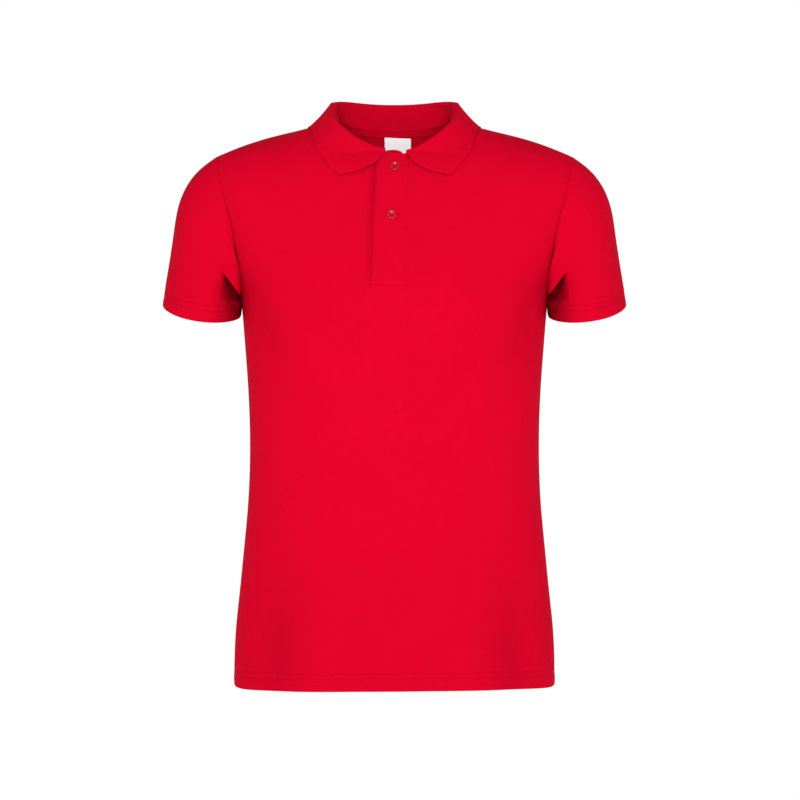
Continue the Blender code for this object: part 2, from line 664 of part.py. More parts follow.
def build_plackets():
    """The outer band, laid on the front, and the under band, inside its opening."""
    over = band_points(placket_edge, PLACKET_FOOT, 0.0, SEAM_GAP)
    cloth("placket_outer", over, PIQUE, PLACKET_WALL, offset=1.0)
    under = band_points(notch_edge, NOTCH_FOOT + SEAM_GAP, SEAM_GAP, 0.0)
    cloth("placket_under", under, PIQUE, PLACKET_WALL)


def build_back_trims():
    """The tape over the back neck seam, and the label under it."""
    inside = -WALL - TRIM_GAP
    x, down = np.meshgrid(np.linspace(-TAPE_HALF, TAPE_HALF, TAPE_COLUMNS), [TAPE_HEIGHT, 0.0])
    points, _ = torso(BACK, x, neckline(BACK, x) - TAPE_TOP - down, inside)
    cloth("neck_tape", points, JERSEY, TAPE_WALL, offset=1.0)
    across, drops = np.linspace(LABEL_LEFT, LABEL_RIGHT, LABEL_CELLS), np.linspace(LABEL_DROP, 0, LABEL_CELLS)
    x, down = np.meshgrid(across, drops)
    down = down + TAPE_TOP + TAPE_HEIGHT + SEAM_GAP + LABEL_TILT * (x - LABEL_LEFT)
    points, _ = torso(BACK, x, neckline(BACK, x) - down, inside)
    cloth("neck_label", points, SATIN, LABEL_WALL, offset=1.0)


def button_profile():
    """Half section of a button, from the middle of its face over the rim to the middle of its back."""
    rim, face = BUTTON_RADIUS, BUTTON_DOME
    return [
        (0.0, face - BUTTON_WELL),
        (rim - 0.0030, face - BUTTON_WELL),
        (rim - 0.0022, face - 0.0003),
        (rim - 0.0012, face),
        (rim - 0.0004, face - 0.0004),
        (rim, 0.0012),
        (rim - 0.0002, 0.0005),
        (rim - 0.0010, 0.0),
        (0.0, 0.0),
    ]


def build_button(name, height, shift):
    """Turned four-hole button: a rim round a shallow well, screwed round its axis."""
    profile = button_profile()
    mesh = bpy.data.meshes.new(name)
    mesh.from_pydata([(r, 0.0, h) for r, h in profile], [(i, i + 1) for i in range(len(profile) - 1)], [])
    mesh.materials.append(material(f"{name}_polyester", POLYESTER))
    button = bpy.data.objects.new(name, mesh)
    SHIRT.objects.link(button)
    screw = button.modifiers.new("turn", "SCREW")
    screw.steps = screw.render_steps = BUTTON_STEPS
    screw.use_merge_vertices = True
    screw.merge_threshold = 1e-5
    middle = sum(placket_edge(i, height) for i in (0, 1)) / 2 + shift
    point, normal = torso(FRONT, middle, height, SEAM_GAP * 2 + PLACKET_WALL)
    axis = Vector(normal)
    side = Vector((0, 0, 1)).cross(axis).normalized()
    place = Matrix([side, axis.cross(side), axis]).transposed().to_4x4()
    place.translation = Vector(point)
    button.matrix_world = place
    for k in range(4):
        turn = math.pi / 4 + k * math.pi / 2
        pin = bpy.data.meshes.new(f"{name}_hole_{k}")
        bm = bmesh.new()
        bmesh.ops.create_cone(
            bm,
            cap_ends=True,
            segments=HOLE_SIDES,
            radius1=BUTTON_HOLE,
            radius2=BUTTON_HOLE,
            depth=4 * BUTTON_DOME,
        )
        bm.to_mesh(pin)
        bm.free()
        cutter = bpy.data.objects.new(pin.name, pin)
        CUTTERS.objects.link(cutter)
        spot = Vector((math.cos(turn), math.sin(turn), 0)) * BUTTON_PITCH * math.sqrt(2)
        cutter.matrix_world = place @ Matrix.Translation(spot)
        cutter.hide_render = True
        cutter.display_type = "WIRE"
        cut = button.modifiers.new(f"hole_{k}", "BOOLEAN")
        cut.object = cutter
        cut.operation = "DIFFERENCE"
        cut.solver = "EXACT"


for leftover in list(bpy.data.objects):
    bpy.data.objects.remove(leftover, do_unlink=True)
SHIRT = bpy.data.collections.new("polo_shirt")
CUTTERS = bpy.data.collections.new("cutters")
for group in (SHIRT, CUTTERS):
    bpy.context.scene.collection.children.link(group)

build_panel("front", FRONT)
build_panel("back", BACK)
build_sleeve("sleeve_left", LEFT)
build_sleeve("sleeve_right", RIGHT)
build_collar("collar")
build_plackets()
build_back_trims()
for button_name, (button_height, button_shift) in zip(("button_top", "button_lower"), BUTTONS):
    build_button(button_name, button_height, button_shift)
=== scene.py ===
"""Polo shirt in red cotton pique, hollow and filled out as if worn.

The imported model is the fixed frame. Each cloth piece is made again here as a fine shell on the same
worn form, with its soft creases, rolled edges, seams and rows of stitches, and stands for its plain
solid. Metres, +Z up, the shirt's front towards -Y and the wearer's left towards +X.
"""

from __future__ import annotations

import json
import logging
import math
from dataclasses import dataclass, field
from enum import Enum
from typing import Callable, Sequence

import bmesh
import bpy
import numpy as np
from bpy.types import ID, Material, Mesh, Node, NodeSocket, NodeTree, Object
from mathutils import Matrix, Vector

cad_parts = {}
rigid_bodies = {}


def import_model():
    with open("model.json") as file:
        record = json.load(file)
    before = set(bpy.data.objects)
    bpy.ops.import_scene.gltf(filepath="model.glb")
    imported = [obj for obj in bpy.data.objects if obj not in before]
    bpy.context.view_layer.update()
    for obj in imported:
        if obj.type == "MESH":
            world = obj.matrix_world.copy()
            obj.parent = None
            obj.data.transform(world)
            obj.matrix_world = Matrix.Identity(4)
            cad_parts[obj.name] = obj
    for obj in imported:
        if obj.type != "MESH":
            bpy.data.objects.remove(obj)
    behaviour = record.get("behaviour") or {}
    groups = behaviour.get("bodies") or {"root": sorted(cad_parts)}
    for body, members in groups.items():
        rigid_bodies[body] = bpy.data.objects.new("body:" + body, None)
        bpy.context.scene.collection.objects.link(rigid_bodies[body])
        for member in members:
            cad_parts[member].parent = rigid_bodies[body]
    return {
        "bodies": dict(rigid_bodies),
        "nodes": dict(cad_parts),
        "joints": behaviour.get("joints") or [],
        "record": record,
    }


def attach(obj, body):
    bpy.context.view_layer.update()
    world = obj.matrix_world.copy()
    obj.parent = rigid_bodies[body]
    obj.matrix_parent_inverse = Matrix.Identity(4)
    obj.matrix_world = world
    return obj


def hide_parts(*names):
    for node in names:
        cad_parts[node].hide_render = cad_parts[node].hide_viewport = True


Array = np.ndarray
LOG = logging.getLogger("polo_shirt")
MM = 0.001


class Face(Enum):
    """The side of the body that a panel covers, with the sign of its Y."""

    FRONT = -1.0
    BACK = 1.0


class Hand(Enum):
    """The wearer's hand, with the sign of its X."""

    RIGHT = -1.0
    LEFT = 1.0


class Lie(Enum):
    """How a stitch lies on its seam: along the row, or across it."""

    ALONG = 0.0
    ACROSS = math.pi / 2


# --- the worn form


@dataclass(frozen=True)
class TorsoSection:
    """Level section of the torso: half width at its edge, depths, and squareness of the curve."""

    height: float
    half_width: float
    front_depth: float
    back_depth: float
    squareness: float


@dataclass(frozen=True)
class SleeveRing:
    """Ring of a sleeve: its outer and inner point in the front view, half depth and front drop."""

    share: float
    outer_x: float
    outer_z: float
    inner_x: float
    inner_z: float
    half_depth: float
    front_low: float


@dataclass(frozen=True)
class CollarStation:
    """Place round the neck with the collar's roll above it and the outer edge of its fall."""

    share: float
    rise: float
    lean: float
    roll: float
    edge_x: float
    edge_y: float
    bow: float
    hook: float


@dataclass(frozen=True)
class Fold:
    """Soft ridge (positive height) or trough on a panel, placed in the front view.

    The angle turns its length from upright, leaning out at the top towards +X.
    """

    name: str
    face: Face
    x: float
    z: float
    half_length: float
    half_width: float
    angle: float
    height: float


@dataclass(frozen=True)
class SleeveFold:
    """Soft ridge or trough on a sleeve, by share of its length and angle round (90 in front)."""

    name: str
    share: float
    turn: float
    half_share: float
    half_turn: float
    skew: float
    height: float


class Track:
    """Natural cubic curve through one column of a table, straight beyond both ends."""

    def __init__(self, rows: Sequence[object], key: str, value: str) -> None:
        """Fits the curve.

        Args:
            rows: the table's rows, in rising order of key.
            key: name of the column that the curve runs along.
            value: name of the column that it gives.
        """
        self.x = np.array([getattr(row, key) for row in rows], dtype=float)
        self.y = np.array([getattr(row, value) for row in rows], dtype=float)
        count, self.step = len(self.x), np.diff(self.x)
        matrix, right = np.eye(count), np.zeros(count)
        for i in range(1, count - 1):
            matrix[i, i - 1] = self.step[i - 1]
            matrix[i, i] = 2 * (self.step[i - 1] + self.step[i])
            matrix[i, i + 1] = self.step[i]
            rise = (self.y[i + 1] - self.y[i]) / self.step[i]
            before = (self.y[i] - self.y[i - 1]) / self.step[i - 1]
            right[i] = 6 * (rise - before)
        self.bend = np.linalg.solve(matrix, right)

    def __call__(self, at: Array) -> Array:
        """Value of the curve at one place or many.

        Args:
            at: the place or places along the curve.

        Returns:
            The values, in the same shape.
        """
        at = np.asarray(at, dtype=float)
        inside = np.clip(at, self.x[0], self.x[-1])
        i = np.clip(np.searchsorted(self.x, inside) - 1, 0, len(self.x) - 2)
        a, b, h = self.x[i + 1] - inside, inside - self.x[i], self.step[i]
        cubic = (self.bend[i] * a**3 + self.bend[i + 1] * b**3) / (6 * h)
        low = (self.y[i] / h - self.bend[i] * h / 6) * a
        high = (self.y[i + 1] / h - self.bend[i + 1] * h / 6) * b
        slopes = np.diff(self.y) / self.step
        beyond = np.where(at < self.x[0], slopes[0], slopes[-1]) * (at - inside)
        return cubic + low + high + beyond


TORSO = tuple(
    TorsoSection(*row)
    for row in (
        (-0.7000, 0.1972, 0.1040, 0.1080, 2.35),
        (-0.6800, 0.1971, 0.1045, 0.1085, 2.35),
        (-0.6310, 0.1953, 0.1060, 0.1095, 2.35),
        (-0.5815, 0.1903, 0.1070, 0.1085, 2.35),
        (-0.5320, 0.1854, 0.1080, 0.1050, 2.35),
        (-0.4830, 0.1808, 0.1085, 0.1000, 2.35),
        (-0.4336, 0.1782, 0.1090, 0.0965, 2.35),
        (-0.3840, 0.1780, 0.1105, 0.0970, 2.35),
        (-0.3350, 0.1799, 0.1130, 0.1000, 2.32),
        (-0.2860, 0.1834, 0.1155, 0.1050, 2.28),
        (-0.2490, 0.1864, 0.1165, 0.1085, 2.22),
        (-0.2141, 0.1893, 0.1160, 0.1105, 2.15),
        (-0.1750, 0.1925, 0.1105, 0.1095, 2.05),
        (-0.1420, 0.1968, 0.1030, 0.1050, 1.98),
        (-0.1100, 0.2046, 0.0945, 0.0985, 1.95),
        (-0.0825, 0.2118, 0.0860, 0.0915, 1.95),
        (-0.0600, 0.2156, 0.0770, 0.0845, 1.98),
        (-0.0465, 0.2155, 0.0705, 0.0800, 2.00),
        (-0.0369, 0.1920, 0.0650, 0.0765, 2.00),
        (-0.0296, 0.1712, 0.0600, 0.0725, 2.00),
        (-0.0222, 0.1448, 0.0545, 0.0675, 2.00),
        (-0.0150, 0.1150, 0.0490, 0.0630, 2.00),
        (-0.0075, 0.0900, 0.0430, 0.0570, 2.00),
        (0.0000, 0.0710, 0.0370, 0.0490, 2.00),
    )
)

SLEEVE = tuple(
    SleeveRing(*row)
    for row in (
        (0.00, 0.2155, -0.0465, 0.1896, -0.2141, 0.0560, 0.0000),
        (0.08, 0.2285, -0.0548, 0.1894, -0.2165, 0.0572, 0.0002),
        (0.18, 0.2440, -0.0683, 0.1892, -0.2195, 0.0585, 0.0005),
        (0.32, 0.2588, -0.0900, 0.1888, -0.2242, 0.0596, 0.0016),
        (0.48, 0.2680, -0.1170, 0.1884, -0.2288, 0.0602, 0.0048),
        (0.64, 0.2727, -0.1480, 0.1880, -0.2336, 0.0600, 0.0085),
        (0.80, 0.2780, -0.1830, 0.1876, -0.2378, 0.0592, 0.0122),
        (0.90, 0.2817, -0.2055, 0.1874, -0.2398, 0.0586, 0.0145),
        (1.00, 0.2852, -0.2285, 0.1872, -0.2415, 0.0580, 0.0165),
    )
)

COLLAR = tuple(
    CollarStation(*row)
    for row in (
        (0.000, 0.0298, -0.0010, 0.0033, 0.0000, 0.0680, 0.0010, 0.0000),
        (0.150, 0.0292, -0.0005, 0.0033, 0.0400, 0.0645, 0.0012, 0.0000),
        (0.270, 0.0272, 0.0000, 0.0033, 0.0730, 0.0545, 0.0018, 0.0000),
        (0.360, 0.0232, 0.0006, 0.0033, 0.0952, 0.0385, 0.0016, 0.0000),
        (0.420, 0.0196, 0.0018, 0.0033, 0.1038, 0.0210, 0.0012, 0.0000),
        (0.455, 0.0173, 0.0028, 0.0033, 0.1058, 0.0055, 0.0010, 0.0000),
        (0.500, 0.0146, 0.0046, 0.0032, 0.1042, -0.0155, 0.0012, 0.0000),
        (0.550, 0.0122, 0.0064, 0.0031, 0.1008, -0.0335, 0.0014, 0.0000),
        (0.620, 0.0101, 0.0064, 0.0030, 0.0968, -0.0500, 0.0012, 0.0000),
        (0.750, 0.0080, 0.0026, 0.0028, 0.0903, -0.0645, 0.0004, 0.0018),
        (0.880, 0.0068, 0.0012, 0.0027, 0.0793, -0.0733, 0.0000, 0.0045),
        (0.950, 0.0062, 0.0006, 0.0025, 0.0721, -0.0776, 0.0000, 0.0072),
        (1.000, 0.0058, 0.0000, 0.0024, 0.0656, -0.0804, 0.0000, 0.0099),
    )
)

FOLDS = (
    Fold("right armhole trough", Face.FRONT, -0.163, -0.246, 0.048, 0.0150, -24.0, -0.0045),
    Fold("left armhole trough", Face.FRONT, 0.163, -0.243, 0.048, 0.0150, 24.0, -0.0045),
    Fold("right hem hollow", Face.FRONT, -0.150, -0.645, 0.080, 0.0240, 3.0, -0.0060),
    Fold("left hem hollow", Face.FRONT, 0.149, -0.645, 0.080, 0.0240, -3.0, -0.0060),
    Fold("right hem flare", Face.FRONT, -0.098, -0.650, 0.060, 0.0210, 5.0, 0.0020),
    Fold("left hem flare", Face.FRONT, 0.092, -0.650, 0.060, 0.0210, -5.0, 0.0020),
    Fold("right blade", Face.BACK, -0.105, -0.230, 0.070, 0.0200, -14.0, -0.0035),
    Fold("left blade", Face.BACK, 0.105, -0.230, 0.070, 0.0200, 14.0, -0.0035),
    Fold("right drape", Face.BACK, -0.100, -0.520, 0.110, 0.0220, 4.0, 0.0040),
    Fold("left drape", Face.BACK, 0.096, -0.530, 0.110, 0.0220, -4.0, 0.0040),
    Fold("waist hollow", Face.BACK, 0.000, -0.420, 0.080, 0.0300, 0.0, -0.0030),
    Fold("right side break", Face.BACK, -0.150, -0.400, 0.040, 0.0140, 60.0, -0.0025),
    Fold("left side break", Face.BACK, 0.150, -0.392, 0.040, 0.0140, -60.0, -0.0025),
)

CREASES = (
    Fold("right armpit pull", Face.FRONT, -0.142, -0.268, 0.030, 0.0070, -38.0, 0.0010),
    Fold("left armpit pull", Face.FRONT, 0.144, -0.264, 0.030, 0.0070, 38.0, 0.0010),
    Fold("right chest hollow", Face.FRONT, -0.106, -0.080, 0.030, 0.0140, -30.0, -0.0010),
    Fold("left chest hollow", Face.FRONT, 0.112, -0.078, 0.030, 0.0140, 30.0, -0.0010),
    Fold("right waist drag", Face.FRONT, -0.116, -0.460, 0.050, 0.0120, 12.0, -0.0008),
    Fold("left waist drag", Face.FRONT, 0.112, -0.450, 0.050, 0.0120, -12.0, -0.0008),
    Fold("placket foot pull", Face.FRONT, -0.006, -0.235, 0.022, 0.0110, 3.0, -0.0007),
    Fold("right hem wave", Face.FRONT, -0.045, -0.680, 0.034, 0.0150, 3.0, -0.0012),
    Fold("left hem wave", Face.FRONT, 0.040, -0.682, 0.034, 0.0150, -3.0, -0.0012),
    Fold("yoke drag", Face.BACK, 0.000, -0.110, 0.020, 0.0500, 0.0, -0.0009),
    Fold("right back pull", Face.BACK, -0.150, -0.255, 0.036, 0.0090, -32.0, 0.0013),
    Fold("left back pull", Face.BACK, 0.152, -0.250, 0.036, 0.0090, 32.0, 0.0013),
    Fold("right small of back", Face.BACK, -0.062, -0.455, 0.045, 0.0100, 70.0, -0.0010),
    Fold("left small of back", Face.BACK, 0.060, -0.440, 0.045, 0.0100, -70.0, -0.0010),
    Fold("right back hem wave", Face.BACK, -0.055, -0.665, 0.045, 0.0180, 3.0, -0.0018),
    Fold("left back hem wave", Face.BACK, 0.050, -0.668, 0.045, 0.0180, -3.0, -0.0018),
)

# Painted shade, darkened into the colour where folds lie too deep for the light, over the shoulders and low
# on the front: the height column is the share of light that each takes away.
PAINTED_SHADES = (
    Fold("right hem hollow", Face.FRONT, -0.146, -0.665, 0.110, 0.0340, 3.0, 0.11),
    Fold("left hem hollow", Face.FRONT, 0.145, -0.665, 0.110, 0.0340, -3.0, 0.11),
    Fold("right armhole trough", Face.FRONT, -0.156, -0.266, 0.052, 0.0200, -20.0, 0.08),
    Fold("left armhole trough", Face.FRONT, 0.156, -0.264, 0.052, 0.0200, 20.0, 0.08),
    Fold("under the chest", Face.FRONT, 0.000, -0.640, 0.110, 0.2600, 0.0, 0.04),
    Fold("right shoulder", Face.FRONT, -0.150, -0.040, 0.030, 0.0600, 18.0, 0.05),
    Fold("left shoulder", Face.FRONT, 0.150, -0.040, 0.030, 0.0600, -18.0, 0.05),
)

SLEEVE_FOLDS = (
    SleeveFold("underarm front", 0.62, 142.0, 0.34, 15.0, 26.0, -0.0025),
    SleeveFold("underarm back", 0.60, 222.0, 0.34, 15.0, -26.0, -0.0050),
    SleeveFold("front hollow", 0.50, 84.0, 0.30, 17.0, -22.0, -0.0020),
    SleeveFold("back hollow", 0.45, 285.0, 0.30, 17.0, 22.0, -0.0020),
    SleeveFold("cap ease front", 0.16, 38.0, 0.12, 11.0, 0.0, 0.0007),
    SleeveFold("cap ease back", 0.16, 322.0, 0.12, 11.0, 0.0, 0.0007),
    SleeveFold("elbow side drag", 0.72, 24.0, 0.22, 12.0, 12.0, -0.0009),
)


@dataclass
class WornForm:
    """The worn torso as a surface over the front view, with its neckline, armholes and shoulders."""

    underarm: float = -0.2141
    shoulder: float = -0.0465
    armhole_front: float = 0.0550
    armhole_back: float = 0.0570
    underarm_point: float = 0.70
    neck_half: float = 0.0710
    front_drop: float = 0.0515
    back_drop: float = 0.0100
    neck_roundness: float = 0.60
    seam_gap: float = 0.0003

    def __post_init__(self) -> None:
        """Fits the curves of the torso's table."""
        below = [row for row in TORSO if row.height <= self.shoulder + 1e-9]
        above = [row for row in TORSO if row.height >= self.shoulder - 1e-9]
        self.edge_below = Track(below, "height", "half_width")
        self.edge_above = Track(above, "height", "half_width")
        self.deep = {
            Face.FRONT: Track(TORSO, "height", "front_depth"),
            Face.BACK: Track(TORSO, "height", "back_depth"),
        }
        self.squareness = Track(TORSO, "height", "squareness")

    def ridge_height(self, x: Array) -> Array:
        """Height of the shoulder seam at a distance from the middle."""
        heights = np.linspace(self.shoulder, 0.0, 400)
        return np.interp(-np.abs(x), -self.edge_above(heights), heights)

    def edge_half(self, z: Array) -> Array:
        """Distance from the middle to the side seam, armhole or shoulder seam at a height."""
        z = np.asarray(z, dtype=float)
        return np.where(z < self.shoulder, self.edge_below(z), self.edge_above(np.maximum(z, self.shoulder)))

    def armhole_depth(self, face: Face, z: Array) -> Array:
        """Distance of the armhole's edge from the plane of the shoulder seams.

        Args:
            face: front or back.
            z: heights.

        Returns:
            The distances, 0 beyond both ends of the armhole.
        """
        middle, half = (self.underarm + self.shoulder) / 2, (self.shoulder - self.underarm) / 2
        share = np.clip((np.asarray(z, dtype=float) - middle) / half, -1, 1)
        deep = self.armhole_front if face is Face.FRONT else self.armhole_back
        return deep * (1 - share**2) ** np.where(share < 0, self.underarm_point, 0.5)

    def section(self, face: Face, z: Array) -> tuple[Array, Array, Array]:
        """Half width, depth and squareness of the level section at a height.

        Args:
            face: front or back.
            z: heights.

        Returns:
            Three arrays, in that order.
        """
        z = np.minimum(np.asarray(z, dtype=float), 0.0)
        deep, power = self.deep[face](z), self.squareness(z)
        share = np.clip(self.armhole_depth(face, z) / deep, 0, 0.95)
        wide = self.edge_half(z) / (1 - share**power) ** (1 / power)
        return wide, deep, power

    def depth(self, face: Face, x: Array, z: Array) -> Array:
        """Distance of the unfolded torso from the plane of the shoulder seams."""
        wide, deep, power = self.section(face, z)
        return deep * np.maximum(1 - np.clip(np.abs(x) / wide, 0, 1) ** power, 0) ** (1 / power)

    def field(self, face: Face, points: Array) -> Array:
        """Size of the torso through each point, as a share of the real one at that height.

        Args:
            face: front or back.
            points: the points.

        Returns:
            The sizes, 1 on the torso and more outside it.
        """
        wide, deep, power = self.section(face, points[..., 2])
        total = (np.abs(points[..., 0]) / wide) ** power + (np.abs(points[..., 1]) / deep) ** power
        return total ** (1 / power)

    def normal(self, face: Face, points: Array) -> Array:
        """Outward directions of the unfolded torso at points on it.

        Args:
            face: front or back.
            points: the points.

        Returns:
            Unit vectors.
        """
        x, y, z = points[..., 0], points[..., 1], points[..., 2]
        wide, deep, power = self.section(face, z)
        share_x = np.clip(np.abs(x) / wide, 1e-6, 1)
        share_y = np.clip(np.abs(y) / deep, 1e-6, 1)
        step, fields = 0.0008, []
        for shift in (-step, step):
            wide_s, deep_s, power_s = self.section(face, z + shift)
            fields.append((np.abs(x) / wide_s) ** power_s + (np.abs(y) / deep_s) ** power_s)
        parts = [
            np.sign(x) * power * share_x ** (power - 1) / wide,
            face.value * power * share_y ** (power - 1) / deep,
            (fields[1] - fields[0]) / (2 * step),
        ]
        normal = np.stack(parts, axis=-1)
        return normal / np.linalg.norm(normal, axis=-1, keepdims=True)

    def relief(
        self, face: Face, x: Array, z: Array, folds: Sequence[Fold] = FOLDS + CREASES
    ) -> Array:
        """Height of the folds and creases over the unfolded torso, or the sum of another table.

        Args:
            face: front or back.
            x: places across.
            z: heights.
            folds: the table that is summed up.

        Returns:
            The heights, below 0 in a trough.
        """
        total = np.zeros(np.broadcast(x, z).shape)
        for fold in folds:
            if fold.face is not face:
                continue
            turn = math.radians(fold.angle)
            along = (x - fold.x) * math.sin(turn) + (z - fold.z) * math.cos(turn)
            across = (x - fold.x) * math.cos(turn) - (z - fold.z) * math.sin(turn)
            shape = (along / fold.half_length) ** 2 + (across / fold.half_width) ** 2
            total = total + fold.height * np.exp(-shape)
        return total

    def place(
        self, face: Face, x: Array, z: Array, out: Array | float = 0.0
    ) -> tuple[Array, Array]:
        """Points of the worn torso over places of the front view.

        Args:
            face: front or back.
            x: places across.
            z: heights.
            out: how far the points stand off along the surface's normal.

        Returns:
            The points and the normals there.
        """
        x, z = np.broadcast_arrays(np.asarray(x, dtype=float), np.asarray(z, dtype=float))
        depth = self.depth(face, x, z)
        base = np.stack([x, face.value * depth, z], axis=-1)
        normal = self.normal(face, base)
        base[..., 1] = face.value * np.maximum(depth, self.seam_gap / 2)
        rise = self.relief(face, x, z) * np.clip((depth - 0.004) / 0.03, 0, 1)
        return base + normal * (rise + out)[..., None], normal

    def neckline(self, face: Face, x: Array) -> Array:
        """Height of the neck seam in the front view."""
        drop = self.front_drop if face is Face.FRONT else self.back_drop
        return -drop * (1 - np.clip(np.abs(x) / self.neck_half, 0, 1) ** 2) ** self.neck_roundness

    def height_over(self, x: Array, y: Array) -> Array:
        """Heights of the torso over places of the plan, near the neck and shoulders.

        Args:
            x: places across.
            y: places from front to back.

        Returns:
            The heights.
        """
        heights = np.linspace(-0.13, 0.0, 300)
        found = np.zeros(len(x))
        for i, (at_x, at_y) in enumerate(zip(x, y)):
            face = Face.FRONT if at_y < 0 else Face.BACK
            column = np.stack([np.full(300, at_x), np.full(300, at_y), heights], axis=-1)
            found[i] = np.interp(1.0, self.field(face, column), heights)
        return found

    def clear(self, points: Array, clearance: Array) -> Array:
        """Moves points out until they stand clear of the torso.

        Args:
            points: the points.
            clearance: how far each has to stand off.

        Returns:
            The moved points.
        """
        points = points.copy()
        step = 1e-4
        for _ in range(6):
            for face in Face:
                mine = (points[..., 1] * face.value >= 0) & (points[..., 2] < -0.0005)
                size = np.maximum(self.field(face, points), 1e-3)
                slopes = []
                for axis in range(3):
                    moved = points.copy()
                    moved[..., axis] += step
                    slopes.append((self.field(face, moved) - size) / step)
                slope = np.stack(slopes, axis=-1)
                steep = np.maximum(np.linalg.norm(slope, axis=-1), 1e-6)
                short = np.where(mine, np.maximum(clearance - (size - 1) / steep, 0), 0)
                points = points + slope / steep[..., None] * short[..., None]
        return points


# --- meshes


def grid_normals(points: Array, closed: bool = False) -> Array:
    """Normals of a grid of points, from its own rows and columns.

    Args:
        points: the grid, rows by columns.
        closed: whether each row closes on itself.

    Returns:
        Unit vectors, one for each point.
    """
    along = np.gradient(points, axis=0)
    if closed:
        across = np.roll(points, -1, axis=1) - np.roll(points, 1, axis=1)
    else:
        across = np.gradient(points, axis=1)
    normal = np.cross(across, along)
    return normal / np.maximum(np.linalg.norm(normal, axis=-1, keepdims=True), 1e-12)


def outward(points: Array, normal: Array) -> Array:
    """The normals, turned round if they point into a ring of points."""
    middle = points.mean(axis=1, keepdims=True)
    return -normal if np.sum((points - middle) * normal) < 0 else normal


def cloth_lengths(points: Array) -> Array:
    """UVs in metres of cloth: the lengths along the rows and up the columns of a grid.

    Args:
        points: the grid, rows by columns.

    Returns:
        The two lengths for each point.
    """
    across = np.linalg.norm(np.diff(points, axis=1), axis=-1)
    up = np.linalg.norm(np.diff(points, axis=0), axis=-1)
    u = np.concatenate([np.zeros((points.shape[0], 1)), np.cumsum(across, axis=1)], axis=1)
    u = u - u.mean(axis=1, keepdims=True)
    v = np.concatenate([np.zeros((1, points.shape[1])), np.cumsum(up, axis=0)], axis=0)
    return np.stack([u, v], axis=-1)


def lay_painted_shade(mesh: Mesh, shares: Sequence[float]) -> None:
    """Keeps the painted shade, the share of light that each vertex loses, as the mesh's fold attribute."""
    deep = mesh.attributes.new("fold", "FLOAT", "POINT")
    deep.data.foreach_set("value", np.array(shares, dtype=np.float32))


def new_object(name: str, data: ID) -> Object:
    """Puts a mesh, light or camera into the scene, at the origin.

    Args:
        name: its name.
        data: the mesh, light or camera.

    Returns:
        The new object.
    """
    obj = bpy.data.objects.new(name, data)
    bpy.context.scene.collection.objects.link(obj)
    return obj


